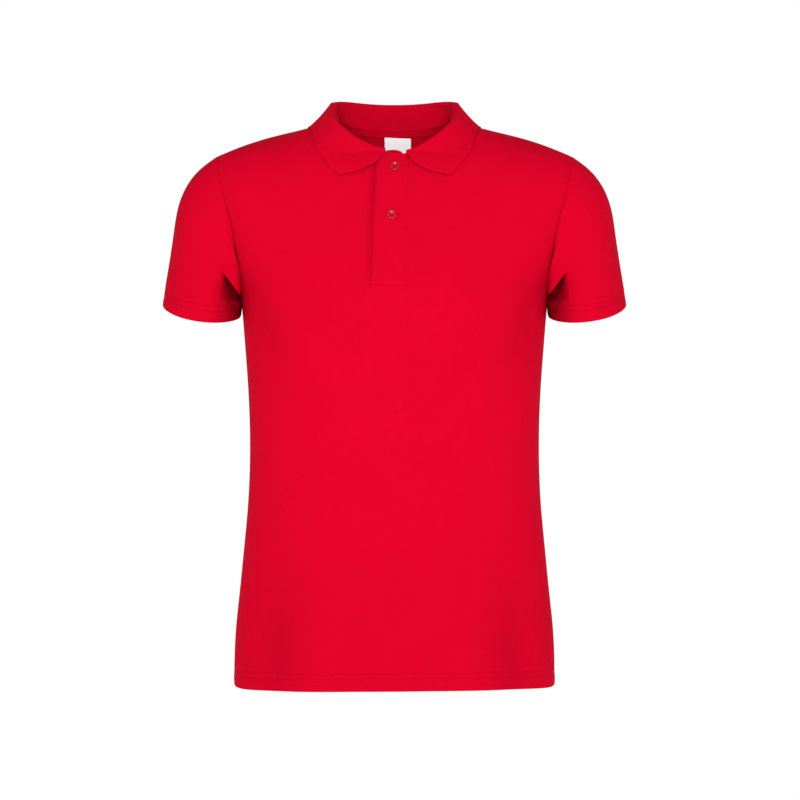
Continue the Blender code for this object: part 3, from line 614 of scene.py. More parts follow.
@dataclass
class Shell:
    """A closed cloth shell between an outer and an inner grid of points, with rolled edges.

    Attributes:
        outer: outer grid, rows by columns.
        inner: inner grid.
        bulge: how far the rolled edge stands out past each edge point.
        closed: whether the rows close round on themselves.
        skip: cells that are cut away.
        rolls: steps of the rolled edge from the outer grid to the inner.
        uv: lengths of cloth for each point, if not those of the outer grid.
        fold: painted shade, the share of the light that each point loses in a fold or under an edge,
            darkened into its colour.
    """

    outer: Array
    inner: Array
    bulge: Array | float = 0.0002
    closed: bool = False
    skip: Callable[[int, int], bool] | None = None
    rolls: int = 4
    uv: Array | None = None
    fold: Array | float = 0.0
    _verts: list[tuple] = field(default_factory=list)
    _uvs: list[tuple] = field(default_factory=list)
    _painted_shades: list[float] = field(default_factory=list)

    def _add(self, point: Array, uv: Array, fold: float) -> int:
        """Keeps a vertex and gives its number.

        Args:
            point: its place.
            uv: its lengths of cloth.
            fold: its painted shade, the share of light it loses.

        Returns:
            The number.
        """
        self._verts.append(tuple(point))
        self._uvs.append(tuple(uv))
        self._painted_shades.append(float(fold))
        return len(self._verts) - 1

    def build(self, name: str, cloth: Material) -> Object:
        """Makes the shell's mesh object.

        Args:
            name: the piece's name.
            cloth: its material.

        Returns:
            The shell.
        """
        rows, columns = self.outer.shape[:2]
        uv = self.uv if self.uv is not None else cloth_lengths(self.outer)
        bulge = np.broadcast_to(np.asarray(self.bulge, dtype=float), (rows, columns))
        fold = np.broadcast_to(np.asarray(self.fold, dtype=float), (rows, columns))
        last = columns if self.closed else columns - 1
        cells = [
            (r, c) for r in range(rows - 1) for c in range(last) if not (self.skip and self.skip(r, c))
        ]
        numbers: list[dict] = [{}, {}]
        faces, edges, away = [], {}, {}
        for layer, grid in enumerate((self.outer, self.inner)):
            for r, c in cells:
                d = (c + 1) % columns
                for key in ((r, c), (r, d), (r + 1, d), (r + 1, c)):
                    if key not in numbers[layer]:
                        numbers[layer][key] = self._add(grid[key], uv[key], fold[key])
        for r, c in cells:
            d = (c + 1) % columns
            loop = [(r, c), (r, d), (r + 1, d), (r + 1, c)]
            faces.append([numbers[0][key] for key in loop])
            faces.append([numbers[1][key] for key in reversed(loop)])
            for a, b in zip(loop, loop[1:] + loop[:1]):
                edges[(a, b)] = (r, c)
        rim = [(a, b) for (a, b) in edges if (b, a) not in edges]
        for a, b in rim:
            r, c = edges[(a, b)]
            d = (c + 1) % columns
            middle = (self.outer[r, c] + self.outer[r + 1, d]) / 2
            off = (self.outer[a] + self.outer[b]) / 2 - middle
            run = self.outer[b] - self.outer[a]
            off = off - run * np.dot(off, run) / max(np.dot(run, run), 1e-18)
            off = off / max(np.linalg.norm(off), 1e-12)
            for key in (a, b):
                away[key] = away.get(key, 0) + off
        rings = {}
        for key, off in away.items():
            off = off / max(np.linalg.norm(off), 1e-12)
            top, low = self.outer[key], self.inner[key]
            ring = [numbers[0][key]]
            for k in range(1, self.rolls):
                turn = math.pi * k / self.rolls
                middle = (top + low) / 2 + (top - low) / 2 * math.cos(turn)
                ring.append(self._add(middle + off * bulge[key] * math.sin(turn), uv[key], fold[key]))
            rings[key] = ring + [numbers[1][key]]
        for a, b in rim:
            for k in range(self.rolls):
                faces.append([rings[a][k], rings[a][k + 1], rings[b][k + 1], rings[b][k]])
        return self._finish(name, faces, cloth)

    def _finish(self, name: str, faces: list[list[int]], cloth: Material) -> Object:
        """Turns the collected points and faces into a smooth object with its cloth UVs.

        Args:
            name: the piece's name.
            faces: vertex numbers of each face.
            cloth: its material.

        Returns:
            The object.
        """
        mesh = bpy.data.meshes.new(name)
        mesh.from_pydata(self._verts, [], faces)
        layer = mesh.uv_layers.new(name="cloth")
        loops = np.empty(len(mesh.loops), dtype=np.int32)
        mesh.loops.foreach_get("vertex_index", loops)
        layer.data.foreach_set("uv", np.array(self._uvs, dtype=np.float32)[loops].ravel())
        lay_painted_shade(mesh, self._painted_shades)
        bm = bmesh.new()
        bm.from_mesh(mesh)
        bmesh.ops.recalc_face_normals(bm, faces=bm.faces)
        bm.to_mesh(mesh)
        bm.free()
        mesh.shade_smooth()
        mesh.materials.append(cloth)
        return new_object(name, mesh)


# --- finishes


def linear(hex_colour: str) -> tuple[float, float, float, float]:
    """An sRGB hex colour as linear RGBA.

    Args:
        hex_colour: the colour, as #RRGGBB.

    Returns:
        Red, green, blue and alpha.
    """
    parts = [int(hex_colour[i : i + 2], 16) / 255 for i in (1, 3, 5)]
    turned = [p / 12.92 if p <= 0.04045 else ((p + 0.055) / 1.055) ** 2.4 for p in parts]
    return (*turned, 1.0)


def add_node(tree: NodeTree, kind: str, links: dict | None = None, **settings: object) -> Node:
    """Adds a node to a tree.

    Args:
        tree: the node tree.
        kind: the node's type name.
        links: input (name or number) to an output socket or a plain value.
        settings: attributes of the node.

    Returns:
        The new node.
    """
    node = tree.nodes.new(kind)
    for key, value in settings.items():
        setattr(node, key, value)
    for key, value in (links or {}).items():
        if isinstance(value, NodeSocket):
            tree.links.new(value, node.inputs[key])
        else:
            node.inputs[key].default_value = value
    return node


@dataclass(frozen=True)
class Finish:
    """What every finish shares: its colour, how light leaves it, and its surface's fine pattern.

    Attributes:
        name: the material's name.
        colour: its colour in sRGB.
        roughness: how far it spreads its gloss.
        specular: strength of its gloss.
        ior: its index of refraction.
        sheen: bloom of the fibres that stand up from it.
        glow: light that it sends out itself.
        coat: weight of a polished film on top.
        coat_roughness: how far that film spreads its gloss.
        spot: width of a patch of the yarn's uneven colour.
        change: how much darker the darkest patch is.
        deep: depth of the surface's pattern.
        strength: share of the pattern that shows in the light.
    """

    name: str
    colour: str
    roughness: float
    specular: float = 0.5
    ior: float = 1.5
    sheen: float = 0.0
    glow: float = 0.0
    coat: float = 0.0
    coat_roughness: float = 0.06
    spot: float = 10 * MM
    change: float = 0.0
    deep: float = 0.0
    strength: float = 0.4

    def make(self) -> Material:
        """Makes the material.

        Returns:
            The material.
        """
        material = bpy.data.materials.new(self.name)
        material.use_nodes = True
        tree = material.node_tree
        tree.nodes.clear()
        colour = linear(self.colour)
        values = {
            "Base Color": colour,
            "Roughness": self.roughness,
            "IOR": self.ior,
            "Specular IOR Level": self.specular,
            "Sheen Weight": self.sheen,
            "Sheen Roughness": 0.5,
            "Sheen Tint": colour,
        }
        if self.glow:
            values |= {"Emission Color": colour, "Emission Strength": self.glow}
        if self.coat:
            values |= {"Coat Weight": self.coat, "Coat Roughness": self.coat_roughness}
        shader = add_node(tree, "ShaderNodeBsdfPrincipled", values)
        add_node(tree, "ShaderNodeOutputMaterial", {"Surface": shader.outputs["BSDF"]})
        if self.change:
            tree.links.new(self.dye_and_painted_shade(tree), shader.inputs["Base Color"])
        if self.deep:
            relief = {"Height": self.pattern(tree), "Distance": self.deep, "Strength": self.strength}
            bump = add_node(tree, "ShaderNodeBump", relief)
            tree.links.new(bump.outputs[0], shader.inputs["Normal"])
        return material

    def pattern(self, tree: NodeTree) -> NodeSocket:
        """Socket with the height of the surface's pattern, here a fine noise."""
        return self.grain(tree, MM, detail=2.0)

    def wave(self, tree: NodeTree, along: NodeSocket, pitch: float) -> NodeSocket:
        """Socket with a sine along a length of cloth, with its crests a pitch in metres apart."""
        scaled = add_node(tree, "ShaderNodeMath", {0: along, 1: 2 * math.pi / pitch}, operation="MULTIPLY")
        return add_node(tree, "ShaderNodeMath", {0: scaled.outputs[0]}, operation="SINE").outputs[0]

    def grain(self, tree: NodeTree, size: float, detail: float, roughness: float = 0.5) -> NodeSocket:
        """A soft noise that stays with the piece.

        Args:
            tree: the material's tree.
            size: width of a spot in metres.
            detail: how many finer layers it has.
            roughness: how strong each finer layer is.

        Returns:
            Socket with the height, from 0 to 1.
        """
        where = add_node(tree, "ShaderNodeTexCoord")
        values = {"Scale": 1 / size, "Detail": detail, "Roughness": roughness}
        noise = add_node(tree, "ShaderNodeTexNoise", {"Vector": where.outputs["Object"], **values})
        return noise.outputs["Fac"]

    def lengths(self, tree: NodeTree) -> Sequence[NodeSocket]:
        """Sockets with the cloth's lengths across and up, in metres."""
        read = add_node(tree, "ShaderNodeUVMap", uv_map="cloth")
        return add_node(tree, "ShaderNodeSeparateXYZ", {0: read.outputs[0]}).outputs

    def weave(self, tree: NodeTree, across: float, up: float, share: float = 0.5) -> NodeSocket:
        """Two waves laid over each other, by the cloth's lengths across and up.

        Args:
            tree: the material's tree.
            across: metres from crest to crest across.
            up: the same up the cloth.
            share: height of the wave across, as a share of the other.

        Returns:
            Socket with the height.
        """
        lengths = self.lengths(tree)
        waves = [self.wave(tree, lengths[i], pitch) for i, pitch in enumerate((across, up))]
        parts = {0: waves[0], 1: share, 2: waves[1]}
        return add_node(tree, "ShaderNodeMath", parts, operation="MULTIPLY_ADD").outputs[0]

    def dye_and_painted_shade(self, tree: NodeTree) -> NodeSocket:
        """The colour, a little uneven as dyed yarn is, with painted shade that dims it in folds and under
        edges.

        Args:
            tree: the material's tree.

        Returns:
            Socket with the colour.
        """
        noise = self.grain(tree, self.spot, detail=4.0, roughness=0.6)
        limits = {"From Min": 0.3, "From Max": 0.7, "To Min": 1 - self.change, "To Max": 1.0}
        level = add_node(tree, "ShaderNodeMapRange", {"Value": noise, **limits})
        # Painted shade: the fold attribute darkens the colour where folds and edges would shade the cloth.
        deep = add_node(tree, "ShaderNodeAttribute", attribute_name="fold")
        lit = add_node(tree, "ShaderNodeMath", {0: 1.0, 1: deep.outputs["Fac"]}, operation="SUBTRACT")
        both = {0: level.outputs[0], 1: lit.outputs[0]}
        value = add_node(tree, "ShaderNodeMath", both, operation="MULTIPLY")
        dyed = {"Color": linear(self.colour), "Value": value.outputs[0]}
        return add_node(tree, "ShaderNodeHueSaturation", dyed).outputs[0]


@dataclass(frozen=True)
class PiqueKnit(Finish):
    """Cotton pique, knitted and piece-dyed: small raised diamonds, matte with a faint bloom.

    The real diamonds are about 1.2 mm across; at a step away they only soften the light.
    """

    specular: float = 0.03
    sheen: float = 0.03
    spot: float = 45 * MM
    change: float = 0.035
    deep: float = 0.22 * MM
    strength: float = 0.35
    diamond: float = 1.25 * MM
    yarn: float = 0.35 * MM

    def pattern(self, tree: NodeTree) -> NodeSocket:
        """The height of the diamonds, with the yarn's fuzz.

        Args:
            tree: the material's tree.

        Returns:
            Socket with the height.
        """
        lengths = self.lengths(tree)
        across = self.wave(tree, lengths[0], self.diamond)
        up = self.wave(tree, lengths[1], self.diamond * 0.9)
        cells = add_node(tree, "ShaderNodeMath", {0: across, 1: up}, operation="MULTIPLY")
        parts = {0: cells.outputs[0], 1: 0.5, 2: self.grain(tree, self.yarn * 3, detail=2.0)}
        return add_node(tree, "ShaderNodeMath", parts, operation="MULTIPLY_ADD").outputs[0]


@dataclass(frozen=True)
class CollarRib(Finish):
    """Flat-knit cotton collar: close courses along its length, a little denser than the body."""

    specular: float = 0.03
    sheen: float = 0.06
    spot: float = 30 * MM
    change: float = 0.04
    deep: float = 0.16 * MM
    strength: float = 0.35
    course: float = 1.1 * MM
    wale: float = 1.6 * MM

    def pattern(self, tree: NodeTree) -> NodeSocket:
        """The height of the courses and wales."""
        return self.weave(tree, self.wale, self.course, share=0.6)


@dataclass(frozen=True)
class JerseyTape(Finish):
    """Single-jersey tape folded over the neck seam: fine upright wales."""

    specular: float = 0.03
    sheen: float = 0.03
    spot: float = 20 * MM
    change: float = 0.04
    deep: float = 0.12 * MM
    wale: float = 0.9 * MM

    def pattern(self, tree: NodeTree) -> NodeSocket:
        """The height of the wales."""
        return self.wave(tree, self.lengths(tree)[0], self.wale)


@dataclass(frozen=True)
class LabelSatin(Finish):
    """White woven polyester satin, blank: smooth, with the light drawn across its floats.

    It glows a little: painted light, which keeps the label bright in the shade inside the back neck.
    """

    specular: float = 0.3
    # Painted light: the glow brightens the label, which is no lamp.
    glow: float = 0.17
    change: float = 0.02
    deep: float = 0.05 * MM
    thread: float = 0.45 * MM

    def pattern(self, tree: NodeTree) -> NodeSocket:
        """The height of the threads and their long floats."""
        return self.weave(tree, self.thread, self.thread * 2.5)


@dataclass(frozen=True)
class SewingThread(Finish):
    """Spun polyester sewing thread: two plies, a little shinier than the cotton."""

    specular: float = 0.10
    spot: float = 4 * MM
    change: float = 0.06
    deep: float = 0.08 * MM
    strength: float = 0.5
    ply: float = 0.5 * MM

    def pattern(self, tree: NodeTree) -> NodeSocket:
        """The height of the plies."""
        return self.grain(tree, self.ply, detail=1.0)


@dataclass(frozen=True)
class ButtonPolyester(Finish):
    """Cast polyester button, dyed to match and tumble-polished: clear highlights on a soft colour."""

    specular: float = 0.25
    ior: float = 1.55
    coat: float = 0.05
    spot: float = 3 * MM
    change: float = 0.12
    deep: float = 0.02 * MM
    strength: float = 0.2
    haze: float = MM / 0.9

    def pattern(self, tree: NodeTree) -> NodeSocket:
        """The height of the polish's faint haze."""
        return self.grain(tree, self.haze, detail=2.0)


class Cloths:
    """The materials of the shirt and of the floor, each made once."""

    def __init__(self) -> None:
        """Makes every material."""
        self.pique = PiqueKnit("pique knit", "#C20022", 0.9).make()
        self.collar = CollarRib("flat-knit collar", "#C30022", 0.9).make()
        # The tape's red is lighter than the body's: painted light, which brightens it in the shade inside
        # the back neck.
        self.tape = JerseyTape("jersey tape", "#D80025", 0.9).make()
        self.label = LabelSatin("label satin", "#FBFBFA", 0.6).make()
        self.thread = SewingThread("sewing thread", "#BC0021", 0.6).make()
        self.button = ButtonPolyester("button polyester", "#B4001A", 0.14).make()
        # Matt white studio paper, lit through from below so that its far side doesn't grey.
        self.paper = Finish("studio paper", "#F6F6F6", 0.9, glow=0.20).make()


# --- stitches


@dataclass
class StitchMaker:
    """Rows of stitches laid along paths by Geometry Nodes.

    Attributes:
        thread: material of the thread.
        tree: the node tree, once it is made.
    """

    thread: Material
    tree: NodeTree | None = None

    def _tree(self) -> NodeTree:
        """The node tree: resamples a path at the pitch and lays one thread on each point.

        Returns:
            The tree, made once.
        """
        if self.tree:
            return self.tree
        tree = bpy.data.node_groups.new("stitch row", "GeometryNodeTree")
        face = tree.interface
        face.new_socket("Geometry", in_out="INPUT", socket_type="NodeSocketGeometry")
        for name, value in (("Pitch", 3 * MM), ("Length", 2.3 * MM), ("Thickness", 0.5 * MM), ("Lie", 0.0)):
            socket = face.new_socket(name, in_out="INPUT", socket_type="NodeSocketFloat")
            socket.default_value = value
        face.new_socket("Thread", in_out="INPUT", socket_type="NodeSocketMaterial")
        face.new_socket("Geometry", in_out="OUTPUT", socket_type="NodeSocketGeometry")
        given = tree.nodes.new("NodeGroupInput")
        result = tree.nodes.new("NodeGroupOutput")
        curve = add_node(tree, "GeometryNodeMeshToCurve", {"Mesh": given.outputs["Geometry"]})
        path = {"Curve": curve.outputs[0], "Length": given.outputs["Pitch"]}
        even = add_node(tree, "GeometryNodeCurveToPoints", path, mode="LENGTH")
        ball = add_node(tree, "GeometryNodeMeshUVSphere", {"Segments": 6, "Rings": 4, "Radius": 0.5})
        thick, long = given.outputs["Thickness"], given.outputs["Length"]
        size = add_node(tree, "ShaderNodeCombineXYZ", {"X": thick, "Y": thick, "Z": long})
        shape = {"Geometry": ball.outputs["Mesh"], "Scale": size.outputs[0]}
        shaped = add_node(tree, "GeometryNodeTransform", shape)
        lie = add_node(tree, "ShaderNodeCombineXYZ", {"Y": given.outputs["Lie"]})
        turn = {"Geometry": shaped.outputs[0], "Rotation": lie.outputs[0]}
        turned = add_node(tree, "GeometryNodeTransform", turn)
        rows = {"Points": even.outputs["Points"], "Rotation": even.outputs["Rotation"]}
        laid = add_node(tree, "GeometryNodeInstanceOnPoints", {"Instance": turned.outputs[0], **rows})
        real = add_node(tree, "GeometryNodeRealizeInstances", {"Geometry": laid.outputs[0]})
        finish = {"Geometry": real.outputs[0], "Material": given.outputs["Thread"]}
        dressed = add_node(tree, "GeometryNodeSetMaterial", finish)
        tree.links.new(dressed.outputs[0], result.inputs[0])
        self.tree = tree
        return tree

    def sew(
        self,
        name: str,
        paths: Sequence[Array],
        pitch: float = 3.0 * MM,
        length: float = 2.3 * MM,
        thickness: float = 0.5 * MM,
        lie: Lie = Lie.ALONG,
        thread: Material | None = None,
    ) -> Object:
        """Sews rows of stitches.

        Args:
            name: the piece's name.
            paths: each row's points, in order.
            pitch: distance from stitch to stitch.
            length: length of a stitch.
            thickness: thickness of the thread.
            lie: whether stitches lie along the row or across it.
            thread: another material than the maker's own.

        Returns:
            The stitches as one plain mesh object.
        """
        verts, edges = [], []
        for path in paths:
            start = len(verts)
            verts.extend(tuple(p) for p in path)
            edges.extend((start + i, start + i + 1) for i in range(len(path) - 1))
        mesh = bpy.data.meshes.new(name)
        mesh.from_pydata(verts, edges, [])
        holder = new_object(name, mesh)
        modifier = holder.modifiers.new("stitches", "NODES")
        modifier.node_group = self._tree()
        values = {"Pitch": pitch, "Length": length, "Thickness": thickness}
        values |= {"Lie": lie.value, "Thread": thread or self.thread}
        for item in modifier.node_group.interface.items_tree:
            if item.item_type == "SOCKET" and item.in_out == "INPUT" and item.name in values:
                modifier[item.identifier] = values[item.name]
        graph = bpy.context.evaluated_depsgraph_get()
        done = bpy.data.meshes.new_from_object(holder.evaluated_get(graph))
        bpy.data.objects.remove(holder, do_unlink=True)
        done.shade_smooth()
        return new_object(name, done)


# --- pieces


def eased(count: int, power: float) -> Array:
    """Shares from 0 to 1 whose steps grow smaller towards 1."""
    return 1 - (1 - np.linspace(0, 1, count + 1)) ** power


def dip(distance: Array, width: float, depth: float) -> Array:
    """How far cloth dips at a distance from a seam or a row of stitches."""
    return depth * np.exp(-((distance / width) ** 2))


def lay_shade(piece: Object, shade: Callable[[Array], Array]) -> None:
    """Gives a piece painted shade, the share of light that the cloth under it loses, as its fold attribute.

    Args:
        piece: the piece.
        shade: gives the share lost at each of its points.
    """
    mesh = piece.data
    points = np.empty(len(mesh.vertices) * 3, dtype=np.float32)
    mesh.vertices.foreach_get("co", points)
    lay_painted_shade(mesh, shade(points.reshape(-1, 3)))


def line_distance(x: Array, z: Array, line: Array) -> Array:
    """Distance in the front view from each place to the nearest point of a line.

    Args:
        x: places across.
        z: heights.
        line: the line's points, as places across and heights.

    Returns:
        The distances, or 1 where the line is far.
    """
    near, reach = np.full(x.shape, 1.0), 0.02
    close = (z > line[:, 1].min() - reach) & (z < line[:, 1].max() + reach)
    spots = np.stack([x[close], z[close]], axis=-1)
    near[close] = np.linalg.norm(spots[:, None] - line[None], axis=-1).min(axis=1)
    return near


def smooth(value: Array) -> Array:
    """A soft step from 0 to 1 as the value goes from 0 to 1."""
    part = np.clip(value, 0, 1)
    return part * part * (3 - 2 * part)


@dataclass(frozen=True)
class EdgeShade:
    """Painted shadow on the cloth just under the collar's edge: close to it, and softer at the open ends.

    Each pair holds what there is all along the edge, and what the open ends add.
    """

    close: tuple[float, float] = (0.20, 0.42)
    close_reach: tuple[float, float] = (0.0016, 0.0020)
    soft: float = 0.18
    soft_reach: float = 0.0090
    open_half: float = 0.020
    open_fade: float = 0.034

    def at(self, x: Array, z: Array, line: Array) -> Array:
        """Share of the light that the cloth loses.

        Args:
            x: places across.
            z: heights.
            line: the collar's edge in the front view.

        Returns:
            The shares, 0 far from the edge.
        """
        away = line_distance(x, z, line)
        ends = 1 - smooth((np.abs(x) - self.open_half) / self.open_fade)
        reach = self.close_reach[0] + self.close_reach[1] * ends
        close = (self.close[0] + self.close[1] * ends) * np.exp(-((away / reach) ** 2))
        return close + self.soft * ends * np.exp(-((away / self.soft_reach) ** 2))


@dataclass
class Placket:
    """The two bands of the front opening and the notch they sit in."""

    form: WornForm
    top: tuple[float, float] = (-0.0213, 0.0200)
    base: tuple[float, float] = (-0.0279, 0.0164)
    foot: float = -0.2096
    notch_foot: float = -0.2035
    head: float = -0.0505
    lap: float = 0.0055
    wall: float = 0.0018
    gap: float = 0.0003
    trough_lap: float = 0.0016
    trough_width: float = 0.0092
    trough_depth: float = 0.0044
    trough_top: float = -0.056
    valley_shade: float = 0.11
    valley_off: float = 0.0024
    valley_width: float = 0.0044
    roll_middle: float = -0.0016
    roll_half: float = 0.0113
    roll_radius: float = 0.0062
    roll_turn: float = math.radians(115)
    roll_steps: int = 14
    stitch_inset: float = 0.0018
    free_inset: float = 0.0020
    box: float = 0.0095
    stitch_reach: float = 0.0008
    stitch_dip: float = 0.00035
    edge_swell: float = 0.0007

    def edge(self, index: int, z: Array) -> Array:
        """Place of the right (0) or left (1) edge at a height, by the wearer's hand."""
        share = np.clip((z - self.foot) / (self.head - self.foot), -0.2, 1.0)
        return self.base[index] + (self.top[index] - self.base[index]) * share

    def notch(self, index: int, z: Array) -> Array:
        """Place of the notch's edge in the front panel, under the outer band."""
        return self.edge(index, z) + (self.lap if index == 0 else -self.lap)

    def trough(self, x: Array, z: Array) -> Array:
        """Depth of the soft trough that runs down beside the band's free edge."""
        return -self.trough_depth * self.hollow(x, z)

    def hollow(self, x: Array, z: Array) -> Array:
        """Share of the trough's full depth at places of the front view.

        Args:
            x: places across.
            z: heights.

        Returns:
            The shares, 0 outside the trough.
        """
        share = np.clip((self.edge(0, z) + self.trough_lap - x) / self.trough_width, 0, 1)
        ends = np.clip((z - self.foot + 0.002) / 0.03, 0, 1) * np.clip((self.trough_top - z) / 0.02, 0, 1)
        return np.sin(share**0.65 * math.pi) ** 2 * ends**0.7

    def valley(self, x: Array, z: Array) -> Array:
        """Painted shade: share of the light taken out of the colour in the soft valley along the band's free
        edge.
        """
        ends = smooth((z - self.foot + 0.004) / 0.030) * (1 - smooth((z + 0.070) / 0.020))
        return dip(x - self.edge(0, z) + self.valley_off, self.valley_width, self.valley_shade) * ends

    def strip(
        self, left: Callable, right: Callable, foot: float, across: int, down: int
    ) -> tuple[Array, Array]:
        """Places of a band in the front view, from its foot up to the neckline.

        Args:
            left: its edge at low x at a height.
            right: its other edge at a height.
            foot: height of its foot.
            across: cells across.
            down: cells down.

        Returns:
            The places across and the heights.
        """
        share_z = 0.5 - 0.5 * np.cos(np.linspace(0, 1, down + 1) * math.pi)
        heights = foot + (self.head - foot) * (0.35 * share_z + 0.65 * np.linspace(0, 1, down + 1))
        share = np.linspace(0, 1, across + 1)
        share = 0.6 * (0.5 - 0.5 * np.cos(share * math.pi)) + 0.4 * share
        x = left(heights)[:, None] + (right(heights) - left(heights))[:, None] * share[None]
        z = np.repeat(heights[:, None], across + 1, axis=1)
        rise = np.clip((z - self.foot) / (self.head - self.foot), 0, 1)
        z = z + (self.form.neckline(Face.FRONT, x) - 0.0001 - z[-1:]) * rise**6
        return x, z

    def thickness(self, x: Array, z: Array) -> Array:
        """How far the outer band stands off the front: full at its free edge, flush where sewn.

        Args:
            x: places across.
            z: heights.

        Returns:
            The heights over the front.
        """
        free, sewn, up = x - self.edge(0, z), self.edge(1, z) - x, z - self.foot
        full = self.wall * (1 - np.exp(-(((sewn + 0.0004) / 0.0042) ** 2)))
        full = full * (1 - 0.75 * np.exp(-((up / 0.0030) ** 2)))
        full = full * (1 - 0.35 * np.exp(-((free / 0.0016) ** 2)))
        rows = [(sewn, self.stitch_inset), (up, self.free_inset), (up, self.free_inset + self.box)]
        groove = sum(dip(distance - at, self.stitch_reach, self.stitch_dip) for distance, at in rows)
        low = dip(free - self.free_inset, self.stitch_reach, 0.0004) * (up < self.box + 0.004)
        return full - groove - low + self.edge_swell * np.exp(-(((free - 0.0055) / 0.0035) ** 2))

    def outer(self, name: str, cloth: Material, collar_line: Array) -> Object:
        """Makes the outer band, whose top rolls over the neck edge to the inside.

        Args:
            name: the piece's name.
            cloth: its material.
            collar_line: the collar's edge in the front view, under which shade is painted on the band.

        Returns:
            The band.
        """
        x, z = self.strip(lambda h: self.edge(0, h), lambda h: self.edge(1, h), self.foot, 64, 130)
        plain, normal = self.form.place(Face.FRONT, x, z)
        high = plain + normal * self.thickness(x, z)[..., None]
        low = plain + normal * 0.00005
        wave = np.clip(1 - np.abs((x[-1] - self.roll_middle) / self.roll_half) ** 2.2, 0, 1) ** 0.6
        radius = 0.0008 + self.roll_radius * wave
        back = np.array([0.0, 1.0, 0.0])
        up = high[-1] - high[-2]
        up = up / np.linalg.norm(up, axis=-1, keepdims=True)
        rows_high, rows_low = [], []
        for k in range(1, self.roll_steps + 1):
            turn = self.roll_turn * k / self.roll_steps
            rise = up * (radius * math.sin(turn))[:, None]
            step = back * (radius * (1 - math.cos(turn)))[:, None]
            rows_high.append(high[-1] + rise + step)
            inner = (radius - self.wall * 0.6) * wave
            rise = up * (inner * math.sin(turn))[:, None]
            step = back * (inner * (1 - math.cos(turn)))[:, None]
            rows_low.append(low[-1] + rise + step)
        # Painted shade under the collar's edge and along the free edge; none on the roll.
        shade = np.maximum(EdgeShade().at(x, z, collar_line), self.valley(x, z))
        shade = np.concatenate([shade, np.repeat(shade[-1:] * 0, len(rows_high), axis=0)])
        high = np.concatenate([high, np.array(rows_high)])
        low = np.concatenate([low, np.array(rows_low)])
        return Shell(high, low, 0.0001, fold=shade).build(name, cloth)

    def under(self, name: str, cloth: Material) -> Object:
        """Makes the under band, which closes the notch from the wearer's right.

        Args:
            name: the piece's name.
            cloth: its material.

        Returns:
            The band.
        """
        x, z = self.strip(
            lambda h: self.notch(0, h) + self.gap,
            lambda h: self.notch(1, h) - self.gap,
            self.notch_foot + self.gap,
            24,
            90,
        )
        low, normal = self.form.place(Face.FRONT, x, z, -self.wall)
        return Shell(low + normal * (self.wall - 0.0001), low, 0.0001).build(name, cloth)

    def face_point(self, x: Array, z: Array, out: float = 0.0) -> Array:
        """Points on the outer band's face, or standing off it."""
        x, z = np.broadcast_arrays(np.asarray(x, dtype=float), np.asarray(z, dtype=float))
        return self.form.place(Face.FRONT, x, z, self.thickness(x, z) + out)[0]

    def stitch_rows(self) -> list[Array]:
        """Paths of the sewn edge's stitches and of the box at the foot.

        Returns:
            A path for each row.
        """
        low, high = self.foot + self.free_inset, self.foot + self.free_inset + self.box
        z = np.linspace(low, self.trough_top, 120)
        rows = [self.face_point(self.edge(1, z) - self.stitch_inset, z)]
        for height in (low, high):
            ends = self.edge(0, height) + self.free_inset, self.edge(1, height) - self.stitch_inset
            x = np.linspace(*ends, 30)
            rows.append(self.face_point(x, height))
        z = np.linspace(low, high, 12)
        rows.append(self.face_point(self.edge(0, z) + self.free_inset, z))
        return rows


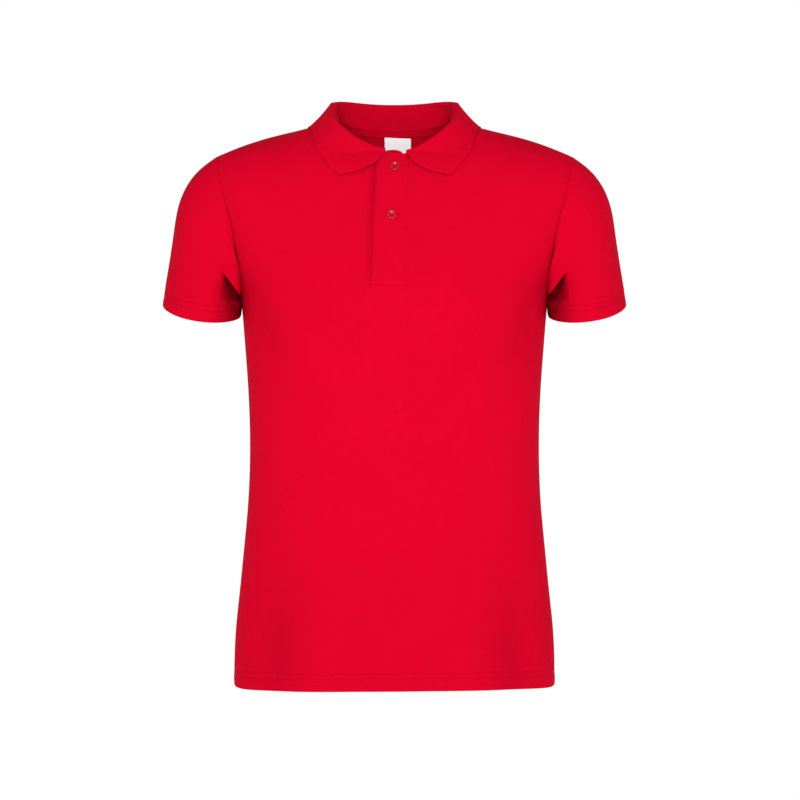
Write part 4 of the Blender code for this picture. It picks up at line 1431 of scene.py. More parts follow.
@dataclass
class Panel:
    """The front or the back, from the hem to the neck seam and shoulders.

    Attributes:
        form: the worn form.
        face: which panel.
        placket: the placket, whose notch is cut from the front.
        collar_line: the collar's edge in the front view.
    """

    form: WornForm
    face: Face
    placket: Placket
    collar_line: Array
    hem: float = -0.6980
    hem_rise: float = 0.0019
    hem_tilt: float = 0.0010
    corner_lift: float = 0.0025
    corner_reach: float = math.radians(10)
    hem_fade: float = 0.120
    wall: float = 0.0014
    band_wall: float = 0.0027
    hem_rows: tuple[float, float] = (0.0145, 0.0205)
    hem_turn: float = 0.0222
    seam_dip: float = 0.0005
    seam_reach: float = 0.0016
    side_reach: float = 0.0014
    seam_shade: float = 0.09
    shade_reach: float = 0.013
    topstitch: float = 0.0055
    topstitch_dip: float = 0.00022
    hem_dip: float = 0.0005
    pucker: float = 0.00022
    edge_bulge: float = 0.00012
    side_bulge: float = 0.00028
    side_bulge_height: float = 0.050
    notch_cells: int = 12
    neck_cells: int = 26
    shoulder_cells: int = 46
    yoke_cells: int = 64

    def body_heights(self) -> Array:
        """Heights of the level rows, closer at the hem and its stitches.

        Returns:
            The heights, in rising order.
        """
        low = [0.0, 0.0006, 0.0015, 0.003, 0.006, 0.010]
        for row in self.hem_rows:
            low += [row - 0.0016, row - 0.0007, row, row + 0.0007, row + 0.0016]
        low += [self.hem_turn, self.hem_turn + 0.0006]
        upper = np.arange(self.hem + 0.028, self.placket.notch_foot, 0.0055)
        heights = np.concatenate([self.hem + np.array(low), upper, [self.form.underarm]])
        return np.append(np.unique(np.round(heights, 5)), self.placket.notch_foot)

    def hem_lift(self, angle: Array, height: float) -> Array:
        """Rise of a level row near the hem, by its angle round from the middle.

        Args:
            angle: angles, 0 in the middle.
            height: the row's height.

        Returns:
            The rises.
        """
        corner = np.exp(-(((math.pi / 2 - np.abs(angle)) / self.corner_reach) ** 2))
        lift = self.hem_rise * np.cos(angle) ** 2 + self.hem_tilt * np.sin(2 * angle)
        return (lift + self.corner_lift * corner) * max(0.0, 1 - (height - self.hem) / self.hem_fade)

    def columns(self) -> tuple[Array, Array]:
        """Where the columns cross the notch's foot (shares of the angle round) and the top (x).

        Returns:
            The shares and the places across, one of each for a column.
        """
        foot = self.placket.notch_foot
        wide, _deep, power = (float(v) for v in self.form.section(self.face, foot))
        edge = math.asin((float(self.form.edge_half(foot)) / wide) ** (power / 2))
        head = -self.form.front_drop
        inner = [float(self.placket.notch(i, foot)) for i in (0, 1)]
        tops = [float(self.placket.notch(i, head)) for i in (0, 1)]
        share = np.linspace(0, 1, self.notch_cells + 1)
        x = inner[0] + (inner[1] - inner[0]) * share
        shares = np.sign(x) * np.arcsin((np.abs(x) / wide) ** (power / 2)) / edge
        top_x = tops[0] + (tops[1] - tops[0]) * share
        for hand, k in ((Hand.LEFT, -1), (Hand.RIGHT, 0)):
            start_share, start_x = abs(shares[k]), abs(top_x[k])
            run = self.neck_cells + self.shoulder_cells
            bend = np.linspace(0, 1, run + 1)[1:]
            more_share = start_share + (1 - start_share) * (1 - (1 - bend) ** 1.45)
            first = math.asin(start_x / self.form.neck_half)
            angle = first + (math.pi / 2 - first) * np.linspace(0, 1, self.neck_cells + 1)[1:]
            last = float(self.form.edge_half(self.form.shoulder))
            over = self.form.neck_half + (last - self.form.neck_half) * eased(self.shoulder_cells, 1.6)[1:]
            more_x = np.concatenate([self.form.neck_half * np.sin(angle), over])
            if hand is Hand.LEFT:
                shares, top_x = np.append(shares, more_share), np.append(top_x, more_x)
            else:
                shares = np.append(-more_share[::-1], shares)
                top_x = np.append(-more_x[::-1], top_x)
        return shares, top_x

    def places(self) -> tuple[Array, Array]:
        """The panel's grid in the front view, from the hem to the neckline and shoulder seams.

        Returns:
            Places across and heights, rows by columns.
        """
        shares, top_x = self.columns()
        rows_x, rows_z = [], []
        for height in self.body_heights():
            z = height + self.hem_lift(shares * math.pi / 2, height)
            wide, _deep, power = self.form.section(self.face, z)
            edge = np.arcsin(np.clip(self.form.edge_half(z) / wide, 0, 1) ** (power / 2))
            angle = shares * edge
            rows_x.append(wide * np.sign(angle) * np.abs(np.sin(angle)) ** (2 / power))
            rows_z.append(z)
        foot_x, foot_z = rows_x[-1], rows_z[-1]
        neck = self.form.neckline(self.face, top_x)
        over = np.abs(top_x) > self.form.neck_half + 1e-6
        top_z = np.where(over, self.form.ridge_height(top_x), neck)
        top_z[[0, -1]] = self.form.shoulder
        start = np.abs(shares)[self.neck_cells + self.shoulder_cells]
        pull = np.clip((np.abs(shares) - start) / (1 - start), 0, 1) ** 2
        for k in range(1, self.yoke_cells + 1):
            up = math.sin(k / self.yoke_cells * math.pi / 2)
            z = foot_z + (top_z - foot_z) * up
            x = foot_x + (top_x - foot_x) * up
            plain = abs(foot_x[0]) + (abs(top_x[0]) - abs(foot_x[0])) * up
            x = x + np.sign(x) * pull * (self.form.edge_half(z[0]) - plain)
            rows_x.append(x)
            rows_z.append(z)
        return np.array(rows_x), np.array(rows_z)

    def armhole(self) -> Array:
        """Points of the armhole's edge on the left side, underarm to shoulder.

        Returns:
            The points, from the bottom up.
        """
        z = np.linspace(self.form.underarm, self.form.shoulder - 1e-6, 160)
        y = self.face.value * self.form.armhole_depth(self.face, z)
        return np.stack([self.form.edge_half(z), y, z], axis=-1)

    def from_armhole(self, points: Array) -> Array:
        """Distance of each point from the nearer armhole.

        Args:
            points: the points.

        Returns:
            The distances, or 1 far below the armholes.
        """
        seam = self.armhole()
        flat = points.reshape(-1, 3).copy()
        flat[:, 0] = np.abs(flat[:, 0])
        nearest = np.full(len(flat), 1.0)
        close = flat[:, 2] > self.form.underarm - 0.02
        gaps = np.linalg.norm(flat[close][:, None] - seam[None], axis=-1).min(axis=1)
        nearest[close] = gaps
        return nearest.reshape(points.shape[:-1])

    def build(self, name: str, cloth: Material) -> Object:
        """Makes the panel's shell.

        Args:
            name: the piece's name.
            cloth: its material.

        Returns:
            The panel.
        """
        x, z = self.places()
        plain, normal = self.form.place(self.face, x, z)
        arm = self.from_armhole(plain)
        side = np.where(z < self.form.underarm, np.abs(plain[..., 1]), 1.0)
        level = len(self.body_heights())
        shoulder = np.where(np.abs(x) > self.form.neck_half - 0.002, np.abs(plain[..., 1]), 1.0)
        shoulder[:level] = 1.0
        drop = dip(arm, self.seam_reach, self.seam_dip)
        drop = drop + dip(arm - self.topstitch, 0.0009, self.topstitch_dip)
        drop = drop + dip(side, self.side_reach, self.seam_dip * 0.7)
        drop = drop + dip(shoulder, self.side_reach, self.seam_dip * 0.6)
        heights = self.body_heights() - self.hem
        for row in self.hem_rows:
            drop[:level] += dip(heights - row, 0.0010, self.hem_dip)[:, None]
        drop[:level] -= dip(heights - 0.007, 0.006, 0.0004)[:, None]
        pucker = dip(heights - sum(self.hem_rows) / 2, 0.009, self.pucker)[:, None]
        round_hem = x[:level] * 420 + 1.3 * np.sin(x[:level] * 130)
        drop[:level] += pucker * np.sin(round_hem + self.face.value)
        rise = -drop
        # Painted shade: darkening put into the colour in the hollows, beside the placket's free edge and the
        # armholes, and under the collar's edge.
        shade = np.clip(self.form.relief(self.face, x, z, PAINTED_SHADES), 0, 0.5)
        if self.face is Face.FRONT:
            rise = rise + self.placket.trough(x, z)
            shade = shade + self.placket.valley(x, z)
            shade = shade + dip(arm, self.shade_reach, self.seam_shade) * smooth((-0.080 - z) / 0.09)
            shade = np.maximum(shade, EdgeShade().at(x, z, self.collar_line))
        outer = plain + normal * rise[..., None]
        wall = np.full(x.shape, self.wall)
        band = int(np.searchsorted(heights, self.hem_turn + 1e-6))
        wall[:band] = self.band_wall
        inner = outer - normal * wall[..., None]
        bulge = np.full(x.shape, self.edge_bulge)
        bulge[: int(np.searchsorted(heights, self.side_bulge_height)), [0, -1]] = self.side_bulge
        bulge[0, 1:-1] = self.band_wall * 0.42
        skip = None
        if self.face is Face.FRONT:
            first = self.neck_cells + self.shoulder_cells

            def skip(r: int, c: int) -> bool:
                """Cells that the placket's notch cuts away."""
                return r >= level - 1 and first <= c < first + self.notch_cells

        return Shell(outer, inner, bulge, skip=skip, fold=shade).build(name, cloth)

    def hem_paths(self) -> list[Array]:
        """Paths of the two rows of stitches round the hem.

        Returns:
            The two paths.
        """
        paths = []
        for row in self.hem_rows:
            angle = np.linspace(-1, 1, 240) * math.radians(89.6)
            height = self.hem + row
            wide, _deep, power = self.form.section(self.face, height)
            x = wide * np.sign(angle) * np.abs(np.sin(angle)) ** (2 / power)
            points, _ = self.form.place(self.face, x, height + self.hem_lift(angle, height), -0.0001)
            paths.append(points)
        return paths

    def topstitch_path(self, hand: Hand) -> Array:
        """Path of the stitches beside an armhole.

        Args:
            hand: whose armhole.

        Returns:
            The path.
        """
        z = np.linspace(self.form.underarm + 0.006, self.form.shoulder - 0.0012, 120)
        edge = self.form.edge_half(z)
        y = self.form.armhole_depth(self.face, z)
        wide, deep, power = self.form.section(self.face, z)
        share = np.clip(y / deep, 0, 1)
        angle = np.arccos(share ** (power / 2))
        inset = self.topstitch / np.hypot(wide * np.cos(angle) * 0.9, deep * np.sin(angle) + 0.02)
        x = wide * np.abs(np.sin(np.maximum(angle - inset, 0))) ** (2 / power)
        x = np.minimum(x, edge - 0.0012)
        points, _ = self.form.place(self.face, hand.value * x, z, 0.00004)
        return points


@dataclass(frozen=True)
class Hollow:
    """Deep hollow under the drape between an armhole and its sleeve, placed in the front view.

    It opens under the line from its top to its side point and runs out towards its bottom corner.
    """

    face: Face
    top: tuple[float, float]
    side: tuple[float, float]
    corner: tuple[float, float]
    depth: float

    def share(self, x: Array, z: Array) -> Array:
        """Share of the hollow's full depth at places of the front view.

        Args:
            x: distances from the shirt's middle.
            z: heights.

        Returns:
            The shares, 0 outside the hollow.
        """
        drop = (self.top[1] - z) / (self.top[1] - self.side[1])
        edge = self.top[0] + (self.side[0] - self.top[0]) * drop
        wide = (self.corner[0] - self.side[0]) * np.clip(drop, 0.16, 1.15)
        across = (x - edge) / wide
        wall = smooth(across / 0.14 + 0.5) * (1 - smooth((across - 0.40) / 0.80))
        return wall * smooth(drop / 0.30) * (1 - smooth((drop - 0.88) / 0.34))

    def below(self, x: Array, z: Array) -> Array:
        """Share of the painted shade that spreads from the hollow out and down to the cuff.

        Args:
            x: distances from the shirt's middle.
            z: heights.

        Returns:
            The shares, 0 on the drape over the hollow.
        """
        drop = (self.top[1] - z) / (self.top[1] - self.side[1])
        edge = self.top[0] + (self.side[0] - self.top[0]) * drop
        clear = np.maximum(smooth((x - edge) / 0.003 + 0.5), smooth((drop - 0.97) / 0.14))
        near = np.clip((self.corner[0] + 0.0150 - x) / 0.0350, 0, 1)
        return near**1.15 * clear * smooth((drop - 0.04) / 0.50)


@dataclass
class Sleeve:
    """A short set-in sleeve with a turned and twice-stitched cuff.

    Attributes:
        form: the worn form.
        hand: which sleeve.
    """

    form: WornForm
    hand: Hand
    gap: float = 0.0002
    wall: float = 0.0014
    band_wall: float = 0.0027
    cuff_rows: tuple[float, float] = (0.0140, 0.0200)
    cuff_turn: float = 0.0218
    cuff_ends: float = 0.62
    around: int = 216
    rings: int = 74
    swell: float = 0.0004
    edge_bulge: float = 0.00015
    tuck_ends: tuple[float, float] = (-0.110, -0.212)
    tuck_reach: float = 0.012
    tuck_rise: float = 0.006
    tuck_over: float = 0.0022
    press_depth: float = 0.020
    press_foot: float = -0.230
    press_gap: float = 0.0003
    hollow_shade: float = 0.62
    below_shade: float = 0.70
    hollows: tuple[Hollow, ...] = (
        Hollow(Face.FRONT, (0.2083, -0.1925), (0.1876, -0.2222), (0.2085, -0.2222), 0.0270),
        Hollow(Face.BACK, (0.2085, -0.1905), (0.1876, -0.2210), (0.2085, -0.2210), 0.0130),
    )

    def turns(self) -> Array:
        """Angles of the columns, 0 on top and a quarter turn in front, closer at the hollows.

        Returns:
            The angles, in rising order.
        """
        fine = np.linspace(0, 2 * math.pi, 2001)
        near = np.exp(-(((fine - math.radians(148)) / 0.45) ** 2)) * 1.4
        far = np.exp(-(((fine - math.radians(212)) / 0.45) ** 2)) * 0.8
        total = np.concatenate([[0], np.cumsum((1 + near + far)[1:])])
        return np.interp(np.arange(self.around) / self.around, total / total[-1], fine)

    def edge_height(self, turns: Array) -> Array:
        """How much of the cuff's full height shows at each angle round."""
        return self.cuff_ends + (1 - self.cuff_ends) * np.abs(np.sin(turns))

    def share_at(self, turns: Array, height: float) -> Array:
        """Share of the length that lies at a height over the cuff's edge, for each angle round.

        Args:
            turns: angles round.
            height: length of cloth up from the edge, in metres.

        Returns:
            The shares, one for each angle.
        """
        shares = np.linspace(0.0, 1.0, 160)
        points = self.points(np.repeat(shares[:, None], len(turns), axis=1), turns, plain=True)
        step = np.linalg.norm(np.diff(points, axis=0), axis=-1)[::-1]
        above = np.concatenate([np.zeros((1, len(turns))), np.cumsum(step, axis=0)])
        wanted = height * self.edge_height(turns)
        found = [np.interp(wanted[i], above[:, i], shares[::-1]) for i in range(len(turns))]
        return np.array(found)

    def shares(self, turns: Array) -> tuple[Array, int]:
        """Shares of the sleeve's length at its rings, and the first ring of the cuff's band.

        Args:
            turns: angles round.

        Returns:
            The shares, rings by turns, and the ring's number.
        """
        near = np.array([0.0, 0.006, 0.013, 0.021, 0.031])
        even = np.linspace(0.044, 1.0, self.rings)
        upper = np.concatenate([near, even])
        turn = self.share_at(turns, self.cuff_turn)
        grid = [turn * part for part in upper]
        first = len(grid) - 1
        heights = []
        for row in self.cuff_rows:
            heights += [row + 0.0015, row + 0.0007, row, row - 0.0007, row - 0.0015]
        heights += [0.010, 0.007, 0.004, 0.002, 0.0008, 0.0]
        for height in sorted(heights, reverse=True):
            grid.append(self.share_at(turns, height))
        return np.array(grid), first

    def points(self, share: Array, turns: Array, plain: bool = False) -> Array:
        """Points of the sleeve's outer face.

        Args:
            share: shares of its length, rings by turns.
            turns: angles round, 0 on top and a quarter turn in front.
            plain: leaves out the folds.

        Returns:
            The points, rings by turns.
        """
        tracks = {
            key: Track(SLEEVE, "share", key)
            for key in ("outer_x", "outer_z", "inner_x", "inner_z", "half_depth", "front_low")
        }
        turn = np.broadcast_to(turns[None], share.shape)
        form = self.form
        mid_z, half_z = (form.underarm + form.shoulder) / 2, (form.shoulder - form.underarm) / 2
        start_z = mid_z + half_z * np.cos(turn)
        swing = np.abs(np.sin(turn)) ** np.where(np.cos(turn) < 0, 2 * form.underarm_point, 1.0)
        deep = np.where(np.sin(turn) > 0, form.armhole_front, form.armhole_back)
        edge = form.edge_half(np.clip(start_z, form.underarm, form.shoulder - 1e-9))
        start = np.stack([edge, -np.sign(np.sin(turn)) * swing * deep, start_z], axis=-1)

        def ring(at: Array) -> Array:
            """Points of the plain rings.

            Args:
                at: shares of the length.

            Returns:
                The points.
            """
            out_x, out_z = tracks["outer_x"](at), tracks["outer_z"](at)
            in_x, in_z = tracks["inner_x"](at), tracks["inner_z"](at)
            x = (out_x + in_x) / 2 + (out_x - in_x) / 2 * np.cos(turn)
            z = (out_z + in_z) / 2 + (out_z - in_z) / 2 * np.cos(turn)
            low = np.where(np.sin(turn) > 0, 1.0, 0.4) * np.sin(turn)
            return np.stack(
                [x, -np.sin(turn) * tracks["half_depth"](at), z - tracks["front_low"](at) * low], axis=-1
            )

        fade = ((1 - np.clip(share / 0.75, 0, 1)) ** 2)[..., None]
        points = ring(share) + (start - ring(np.zeros_like(share))) * fade
        points[..., 0] += self.gap
        points = self.press(self.tuck(points))
        if not plain:
            fold = np.zeros(share.shape)
            for row in SLEEVE_FOLDS:
                off = np.degrees(turn) - row.turn - row.skew * (share - row.share) / row.half_share
                off = (off + 180) % 360 - 180
                shape = (off / row.half_turn) ** 2 + ((share - row.share) / row.half_share) ** 2
                fold = fold + row.height * np.exp(-shape)
            fold = fold * np.clip(share / 0.2, 0, 1) ** 1.5
            normal = outward(points, grid_normals(points, closed=True))
            points = points + normal * fold[..., None]
            for hollow in self.hollows:
                mine = points[..., 1] * hollow.face.value > 0
                room = np.maximum(np.abs(points[..., 1]) - 0.0015, 0)
                push = np.minimum(hollow.depth * hollow.share(points[..., 0], points[..., 2]), room)
                seam = np.clip(np.linalg.norm(points - start, axis=-1) / 0.004, 0, 1)
                points[..., 1] -= hollow.face.value * np.where(mine, push * seam, 0)
        points[..., 0] *= self.hand.value
        return points

    def tuck(self, points: Array) -> Array:
        """Draws the sleeve in over the lower armhole, so that no groove stands open beside it.

        Args:
            points: points of the left sleeve.

        Returns:
            The moved points.
        """
        points = points.copy()
        x, y, z = points[..., 0], points[..., 1], points[..., 2]
        away = np.maximum(x - self.form.edge_half(np.minimum(z, self.form.shoulder - 1e-6)), 0)
        low = smooth((self.tuck_ends[0] - z) / 0.050) * (1 - smooth((self.tuck_ends[1] - z) / 0.012))
        drawn = (away + self.tuck_over) * np.exp(-((away / self.tuck_reach) ** 2)) * low
        for face in Face:
            over = smooth((np.abs(y) - self.form.armhole_depth(face, z)) / self.tuck_rise)
            x = x - drawn * over * (y * face.value > 0)
        points[..., 0] = x
        return points

    def press(self, points: Array) -> Array:
        """Flattens the inner side of the sleeve against the shirt's side, under the armhole.

        Args:
            points: points of the left sleeve.

        Returns:
            The moved points.
        """
        points = points.copy()
        x, y, z = points[..., 0], points[..., 1], points[..., 2]
        below = smooth((self.form.underarm - z) / 0.004) * (1 - smooth((self.press_foot - z) / 0.010))
        for face in Face:
            wide, deep, power = self.form.section(face, np.minimum(z, self.form.underarm))
            side = wide * (1 - np.clip(np.abs(y) / deep, 0, 1) ** power) ** (1 / power)
            near = np.exp(-((y / self.press_depth) ** 4)) * (x < 0.215) * (y * face.value >= 0)
            x = x + (side + self.press_gap - x) * near * below
        points[..., 0] = x
        return points

    def shade(self, points: Array) -> Array:
        """Painted shade: share of the light taken out of each point's colour in the underarm hollows and
        below them.

        Args:
            points: the points.

        Returns:
            The shares.
        """
        total = np.zeros(points.shape[:-1])
        x, z = np.abs(points[..., 0]), points[..., 2]
        for hollow in self.hollows:
            mine = points[..., 1] * hollow.face.value > 0
            deep = hollow.share(x, z) * self.hollow_shade
            under = hollow.below(x, z) * self.below_shade
            total = np.maximum(total, np.where(mine, np.maximum(deep, under), 0))
        return total

    def build(self, name: str, cloth: Material) -> Object:
        """Makes the sleeve's shell.

        Args:
            name: the piece's name.
            cloth: its material.

        Returns:
            The sleeve.
        """
        turns = self.turns()
        shares, band = self.shares(turns)
        plain = self.points(shares, turns)
        normal = outward(plain, grid_normals(plain, closed=True))
        reach = np.linalg.norm(plain - plain[:1], axis=-1)
        rise = self.swell * np.exp(-(((reach - 0.005) / 0.003) ** 2)) - dip(reach, 0.0014, 0.0004)
        for row in self.cuff_rows:
            away = shares - self.share_at(turns, row)[None]
            rise = rise - dip(away, 0.0055, 0.0005)
        outer = plain + normal * rise[..., None]
        wall = np.full(outer.shape[:2], self.wall)
        wall[band:] = self.band_wall
        inner = outer - normal * wall[..., None]
        bulge = np.full(outer.shape[:2], self.edge_bulge)
        bulge[-1] = self.band_wall * 0.4
        lengths, shade = cloth_lengths(outer), self.shade(plain)
        return Shell(outer, inner, bulge, closed=True, uv=lengths, fold=shade).build(name, cloth)

    def cuff_paths(self) -> list[Array]:
        """Paths of the two rows of stitches round the cuff.

        Returns:
            The two paths.
        """
        turns = np.linspace(0, 2 * math.pi, 240)
        rows = [np.zeros(len(turns))] + [self.share_at(turns, row) for row in self.cuff_rows]
        points = self.points(np.array(rows), turns)
        return [points[1], points[2]]


@dataclass
class Collar:
    """Flat-knit collar: one strip that stands at the neck seam, rolls over and lies on the shoulders.

    Attributes:
        form: the worn form.
    """

    form: WornForm
    wall: float = 0.0018
    shoulder_share: float = 0.455
    ends: tuple[float, float] = (0.0115, 0.0150)
    roll_turn: float = math.radians(165)
    stations: int = 150
    stand_cells: int = 8
    roll_cells: int = 12
    fall_cells: int = 30
    clearance: float = 0.0016
    lift: float = 0.0034
    shoulder_low: float = 0.0010
    left_drop: float = 0.0026
    foot_in: float = 0.0013
    foot_up: float = 0.0006
    end_lift: float = 0.0022

    def neck_points(self, shares: Array) -> Array:
        """Points of the neckline at shares round it, -1 at the right front end to 1 at the left.

        Args:
            shares: the shares.

        Returns:
            The points.
        """
        points = []
        for share in shares:
            size, hand = min(abs(share), 1.0), math.copysign(1.0, share)
            if size <= self.shoulder_share:
                face, angle = Face.BACK, size / self.shoulder_share * math.pi / 2
            else:
                face = Face.FRONT
                last = math.asin(self.ends[1 if hand > 0 else 0] / self.form.neck_half)
                part = (size - self.shoulder_share) / (1 - self.shoulder_share)
                angle = math.pi / 2 - part * (math.pi / 2 - last)
            x = hand * self.form.neck_half * math.sin(angle)
            z = float(self.form.neckline(face, x))
            points.append([x, face.value * float(self.form.depth(face, x, z)), z])
        return np.array(points)

    def surface(self) -> Array:
        """Middle surface: a row for each station, from the neck seam to the outer edge.

        Returns:
            The points, stations by cells.
        """
        half = np.linspace(0, 1, self.stations + 1)
        shares = np.concatenate([-half[:0:-1], half])
        tracks = {
            key: Track(COLLAR, "share", key)
            for key in ("rise", "lean", "roll", "edge_x", "edge_y", "bow", "hook")
        }
        value = {key: track(np.abs(shares)) for key, track in tracks.items()}
        hand = np.sign(shares)
        value["rise"] = value["rise"] - self.left_drop * smooth((shares - 0.80) / 0.20)
        here = self.neck_points(shares)
        tangent = self.neck_points(np.minimum(shares + 0.02, 1.0)) - self.neck_points(
            np.maximum(shares - 0.02, -1.0)
        )
        out = np.stack([-tangent[:, 1], tangent[:, 0], np.zeros(len(shares))], axis=-1)
        out /= np.linalg.norm(out, axis=-1, keepdims=True)
        out *= np.sign(np.sum(out[:, :2] * here[:, :2], axis=-1))[:, None]
        up = np.array([0.0, 0.0, 1.0])
        roll = value["roll"][:, None]
        foot = here - out * self.foot_in + up * self.foot_up
        neck = foot + up * (value["rise"][:, None] + 0.0005 - roll) + out * value["lean"][:, None]
        path = [foot + (neck - foot) * k / self.stand_cells for k in range(self.stand_cells)]
        centre = neck + out * roll
        for k in range(self.roll_cells + 1):
            turn = self.roll_turn * k / self.roll_cells
            path.append(centre - out * roll * math.cos(turn) + up * roll * math.sin(turn))
        edge = np.stack([hand * value["edge_x"], value["edge_y"], np.zeros(len(shares))], axis=-1)
        edge[:, 2] = self.form.height_over(edge[:, 0], edge[:, 1])
        start = path[-1]
        sideways = np.stack([-hand * 0.6, np.zeros(len(shares)), np.full(len(shares), -0.8)], axis=-1)
        for k in range(1, self.fall_cells + 1):
            f = k / self.fall_cells
            middle = 4 * f * (1 - f)
            point = start + (edge - start) * f
            point = point - (out * 0.6 + up * 0.8) * value["bow"][:, None] * middle
            point = point + sideways * value["hook"][:, None] * middle * (1.35 - 0.7 * f)
            near = 1 - np.clip((np.abs(point[:, 0]) - 0.030) / 0.014, 0, 1)
            open_edge = smooth((np.abs(shares) - 0.80) / 0.2) * self.lift * middle**0.7
            over = self.shoulder_low * np.exp(-(((np.abs(shares) - self.shoulder_share) / 0.08) ** 2))
            path.append(self.form.clear(point, self.clearance - over + self.end_lift * near + open_edge))
        return np.stack(path, axis=1)

    def edge_line(self) -> Array:
        """The outer edge of the front half in the front view, as places across and heights."""
        edge = self.surface()[:, -1]
        return edge[edge[:, 1] < 0][:, [0, 2]]

    def build(self, name: str, cloth: Material) -> Object:
        """Makes the collar's shell.

        Args:
            name: the piece's name.
            cloth: its material.

        Returns:
            The collar.
        """
        middle = self.surface()
        normal = grid_normals(middle)
        outer = middle + normal * self.wall / 2
        inner = middle - normal * self.wall / 2
        return Shell(outer, inner, self.wall * 0.4, uv=cloth_lengths(middle)).build(name, cloth)


@dataclass
class Button:
    """Turned four-hole button, sewn on with two bars of thread.

    Attributes:
        placket: the placket it sits on.
        height: height of its middle.
        shift: how far it sits from the placket's middle line.
    """

    placket: Placket
    height: float
    shift: float
    radius: float = 0.0058
    dome: float = 0.0028
    well: float = 0.0009
    hole: float = 0.0009
    pitch: float = 0.0013
    rim_radius: float = 0.0010
    steps: int = 64

    def frame(self) -> Matrix:
        """Place of the button: its back on the placket, its axis out of the cloth.

        Returns:
            The matrix that moves a button from the origin to its place.
        """
        middle = sum(float(self.placket.edge(i, self.height)) for i in (0, 1)) / 2 + self.shift
        out = self.placket.gap * 2 + self.placket.wall
        point, normal = self.placket.form.place(Face.FRONT, middle, self.height, out)
        axis = Vector(normal)
        side = Vector((0, 0, 1)).cross(axis).normalized()
        frame = Matrix([side, axis.cross(side), axis]).transposed().to_4x4()
        frame.translation = Vector(point)
        return frame

    def profile(self) -> list[tuple[float, float]]:
        """Half section of the button, from the middle of its face round to the middle of its back.

        Returns:
            Radius and height of each point.
        """
        r, h = self.radius, self.dome
        turns, soft = np.linspace(0, 1.5, 7), self.rim_radius
        rim = [(r - soft * (1 - math.sin(a)), h - soft * (1 - math.cos(a))) for a in turns]
        slope = [
            (r - 0.0034, h - self.well + 0.0001),
            (r - 0.0029, h - self.well + 0.0003),
            (r - 0.0022, h - 0.0004),
            (r - 0.0017, h - 0.0001),
        ]
        low = [(r - 0.0001, 0.0011), (r - 0.0004, 0.0005), (r - 0.0011, 0.0001), (r - 0.0018, 0.0)]
        well = [(0.0, h - self.well - 0.0001), (0.0012, h - self.well - 0.00005)]
        return well + slope + rim + low + [(0.0, 0.0)]

    def build(self, name: str, finish: Material) -> Object:
        """Makes the button with its four holes.

        Args:
            name: the piece's name.
            finish: its material.

        Returns:
            The button.
        """
        profile = self.profile()
        mesh = bpy.data.meshes.new(name)
        edges = [(i, i + 1) for i in range(len(profile) - 1)]
        mesh.from_pydata([(r, 0.0, h) for r, h in profile], edges, [])
        blank = new_object(name, mesh)
        screw = blank.modifiers.new("turn", "SCREW")
        screw.steps = screw.render_steps = self.steps
        screw.use_merge_vertices = True
        screw.merge_threshold = 1e-5
        screw.use_normal_calculate = True
        cutters = []
        for k in range(4):
            pin = bpy.data.meshes.new(f"{name} pin {k}")
            bm = bmesh.new()
            bmesh.ops.create_cone(
                bm, cap_ends=True, segments=20, radius1=self.hole, radius2=self.hole, depth=0.01
            )
            bm.to_mesh(pin)
            bm.free()
            cutter = new_object(pin.name, pin)
            turn = math.pi / 4 + k * math.pi / 2
            cutter.location = Vector((math.cos(turn), math.sin(turn), 0)) * self.pitch * math.sqrt(2)
            cut = blank.modifiers.new(f"hole {k}", "BOOLEAN")
            cut.object, cut.operation, cut.solver = cutter, "DIFFERENCE", "EXACT"
            cutters.append(cutter)
        bpy.context.view_layer.update()
        graph = bpy.context.evaluated_depsgraph_get()
        done = bpy.data.meshes.new_from_object(blank.evaluated_get(graph))
        for spare in [blank] + cutters:
            bpy.data.objects.remove(spare, do_unlink=True)
        done.transform(self.frame())
        done.shade_smooth()
        done.set_sharp_from_angle(angle=math.radians(38))
        done.materials.clear()
        done.materials.append(finish)
        return new_object(name, done)

    def thread_paths(self) -> list[Array]:
        """Paths of the thread: two upright bars over the button's well, and its turns.

        Returns:
            A path for each strand.
        """
        frame, paths = self.frame(), []
        top = self.dome - self.well + 0.00025
        for side in (-1, 1):
            for strand in (-0.00025, 0.0, 0.00025):
                line = []
                for s in np.linspace(-1, 1, 9):
                    lift = top + 0.0003 * (1 - s * s) - 0.0012 * max(0.0, abs(s) - 0.85) / 0.15
                    line.append(frame @ Vector((side * self.pitch + strand, s * self.pitch, lift)))
                paths.append(np.array([tuple(p) for p in line]))
        return paths


